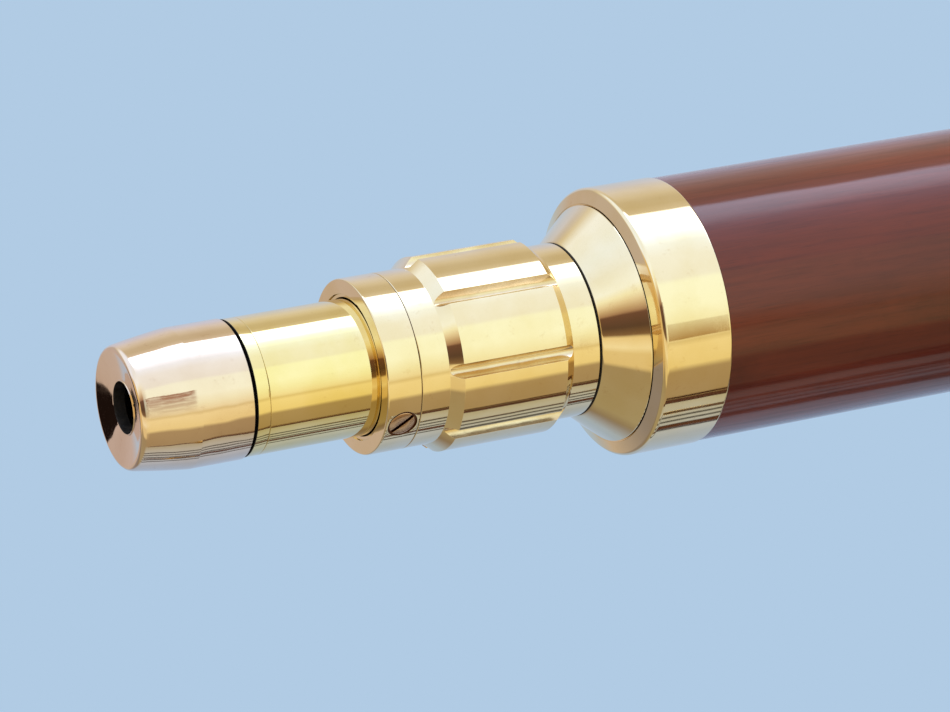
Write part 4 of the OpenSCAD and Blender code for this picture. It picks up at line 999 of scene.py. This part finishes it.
def grip_knob(length, radius, bore_r, bore_len, flutes, depth):
    """A turned grip knob along X: a pressed edge, a dished end and a small centre boss."""
    outline = [
        (0, bore_r), (0, radius - 1.2), *arc((1.0, radius - 1.0), 1.0, 180, 90, 5),
        (length - 3.2, radius), *arc((length - 3.0, radius - 3.0), 3.0, 90, 0, 8),
        (length, radius * 0.62), (length - 0.9, radius * 0.54), (length - 0.9, radius * 0.34),
        (length - 0.2, radius * 0.26), (length, radius * 0.2), (length, 0),
        (bore_len, 0), (bore_len, bore_r),
    ]
    if not bore_r:
        outline = [(0, 0), *outline[1:-2]]
    return fluted(turned(outline), flutes, depth, 1.2, length - 1.5)


def grip_screw(length, radius, shank_len, shank_r):
    """A small grip knob with its screw's plain end behind it, along -X."""
    edge, overlap = 0.5, 0.5
    shank = turned([(-shank_len, 0), (-shank_len, shank_r - edge), (-shank_len + edge, shank_r),
                    (overlap, shank_r), (overlap, 0)], 48)
    return combine(grip_knob(length, radius, 0, 0, 12, 0.9), shank, "UNION")


knob_low, knob_high = extent("tilt_knob_near", UPRIGHT)
knob_len, knob_r = knob_high.y - knob_low.y, knob_high.x
TRUNNION_BORE, KNOB_END, KNOB_FLUTES, FLUTE_DEPTH = 5.05, 4.0, 16, 1.3
for side, node, direction in (("near", "tilt_knob_near", -1), ("far", "tilt_knob_far", 1)):
    seat = basis((0, direction, 0), (1, 0, 0), (0, direction * -knob_high.y * MM, 0))
    knob = grip_knob(knob_len, knob_r, TRUNNION_BORE, knob_len - KNOB_END, KNOB_FLUTES,
                     FLUTE_DEPTH)
    piece(knob, f"tilt_knob_{side}_turned", UPRIGHT @ seat, AGED, f"knob_{side}",
          [node])
print("tilt knobs:", round(2 * knob_r, 1), "mm across")

# %% [markdown]
# ## Tripod head
#
# The head is a turned drum with three pairs of lugs. The spindle runs down through it to a hexagon
# nut, a knurled screw locks it, and each leg hangs on a bolt with a wing nut.

# %% Tripod head
WORLD = Matrix.Identity(4)
piece(softened_copy("tripod_head", WORLD, 0.9, 3), "tripod_head_drum", WORLD, AGED, "head",
      ["tripod_head"], lengthwise=2)
piece(softened_copy("azimuth_spindle", WORLD, 0.3), "azimuth_spindle_turned", WORLD, AGED,
      "mount", ["azimuth_spindle"], lengthwise=2)
piece(softened_copy("spindle_nut", WORLD, 0.8, 3), "spindle_hexagon_nut", WORLD, AGED, "mount",
      ["spindle_nut"], lengthwise=2)
piece(softened_copy("hinge_bolts", WORLD, 0.5, 3), "leg_hinge_bolts", WORLD, AGED, "head",
      ["hinge_bolts"])
piece(softened_copy("wing_nuts", WORLD, 0.6, 3), "leg_wing_nuts", WORLD, AGED, "head",
      ["wing_nuts"])

lock_low, lock_high = extent("azimuth_lock_screw", WORLD)
LOCK_KNOB_LEN, LOCK_SHANK_R = 16.0, 3.0
lock_z = (lock_low.z + lock_high.z) / 2
lock_face = lock_low.x + LOCK_KNOB_LEN
seat = basis((-1, 0, 0), (0, 1, 0), (lock_face * MM, 0, lock_z * MM))
screw = grip_screw(LOCK_KNOB_LEN, (lock_high.z - lock_low.z) / 2, lock_high.x - lock_face,
                   LOCK_SHANK_R)
piece(screw, "azimuth_lock_screw_turned", seat, AGED, "lock",
      ["azimuth_lock_screw"])
print("pieces so far:", len(TRIANGLES))

# %% [markdown]
# ## Legs
#
# Each leg is two planed mahogany slats with a third sliding between them. Planing leaves crisp
# faces and a rounded arris, so the edges get a bevel of a little over a millimetre.

# %% Legs
THUMB_LEN, THUMB_SHANK_R = 12.0, 3.0
UP_THE_LEG = 2
# The CAD part, the piece's name, its bevel and segments, its finish, what it rides and its slot.
LEG_PIECES = (
    ("leg_top", "leg_top_fitting", 0.7, 3, AGED, "leg", "mount_brass", UP_THE_LEG),
    ("leg_slats", "planed_leg_slats", 1.3, 4, LEG_WOOD, "leg", "leg_mahogany", UP_THE_LEG),
    ("leg_bolts", "leg_bolts_domed", 0.7, 3, AGED, "leg", "mount_brass", 0),
    ("leg_clamp", "leg_clamp_casting", 0.7, 3, AGED, "leg", "mount_brass", UP_THE_LEG),
    ("lower_leg", "planed_lower_leg", 1.0, 4, LEG_WOOD, "lower", "leg_mahogany", UP_THE_LEG),
    ("foot_ferrule", "foot_ferrule_folded", 0.6, 3, AGED, "lower", "mount_brass", UP_THE_LEG),
    ("foot_pad", "rubber_foot", 0.8, 4, RUBBER, "lower", "black_rubber", UP_THE_LEG),
)
for leg, place in LEGS.items():
    for node, name, width, segments, finish, rides, slot, lengthwise in LEG_PIECES:
        piece(softened_copy(f"{node}_{leg}", place, width, segments), f"{name}_{leg}", place,
              finish, f"{rides}_{leg}", [f"{node}_{leg}"], lengthwise=lengthwise)
    low, high = extent(f"clamp_thumbscrew_{leg}", place)
    thumb_face = high.x - THUMB_LEN
    seat = basis((1, 0, 0), (0, 1, 0), (thumb_face * MM, 0, (low.z + high.z) / 2 * MM))
    screw = grip_screw(THUMB_LEN, (high.z - low.z) / 2, thumb_face - low.x, THUMB_SHANK_R)
    piece(screw, f"clamp_thumbscrew_turned_{leg}", place @ seat, AGED, f"thumb_{leg}",
          [f"clamp_thumbscrew_{leg}"])
print("pieces so far:", len(TRIANGLES))

# %% [markdown]
# ## Floor
#
# A plain pale blue floor lies under the feet. It stops well short of the horizon, so that the
# sweep behind stays plain. Polished metal doesn't mirror it: the tent stands on it all round.

# %% Floor
FLOOR_R = 6.0
floor_mesh = bpy.data.meshes.new("floor")
bm = bmesh.new()
bmesh.ops.create_circle(bm, cap_ends=True, radius=FLOOR_R, segments=96)
bm.to_mesh(floor_mesh)
bm.free()
floor = bpy.data.objects.new("floor", floor_mesh)
bpy.context.collection.objects.link(floor)
floor_finish, tree, _ = material("pale_paper_floor")
place = add(tree, "ShaderNodeTexCoord", {}).outputs["Object"]
mottle = add(tree, "ShaderNodeTexNoise", {"Vector": place, "Scale": 3.0, "Detail": 3.0})
base = add(tree, "ShaderNodeMix", {0: mottle, 6: "#9DB4C8", 7: "#A6BBCE"}, data_type="RGBA")
shader = add(tree, "ShaderNodeBsdfPrincipled", {"Base Color": base, "Roughness": 0.9})
add(tree, "ShaderNodeOutputMaterial", {"Surface": shader})
floor_mesh.materials.append(floor_finish)
floor.visible_glossy = False
print("floor:", 2 * FLOOR_R, "m across")

# %% [markdown]
# ## Close
#
# The piece count and the triangle count are the last things printed.

# %% Finish
bpy.context.view_layer.update()
print("pieces:", len(TRIANGLES), "triangles:", sum(TRIANGLES.values()))
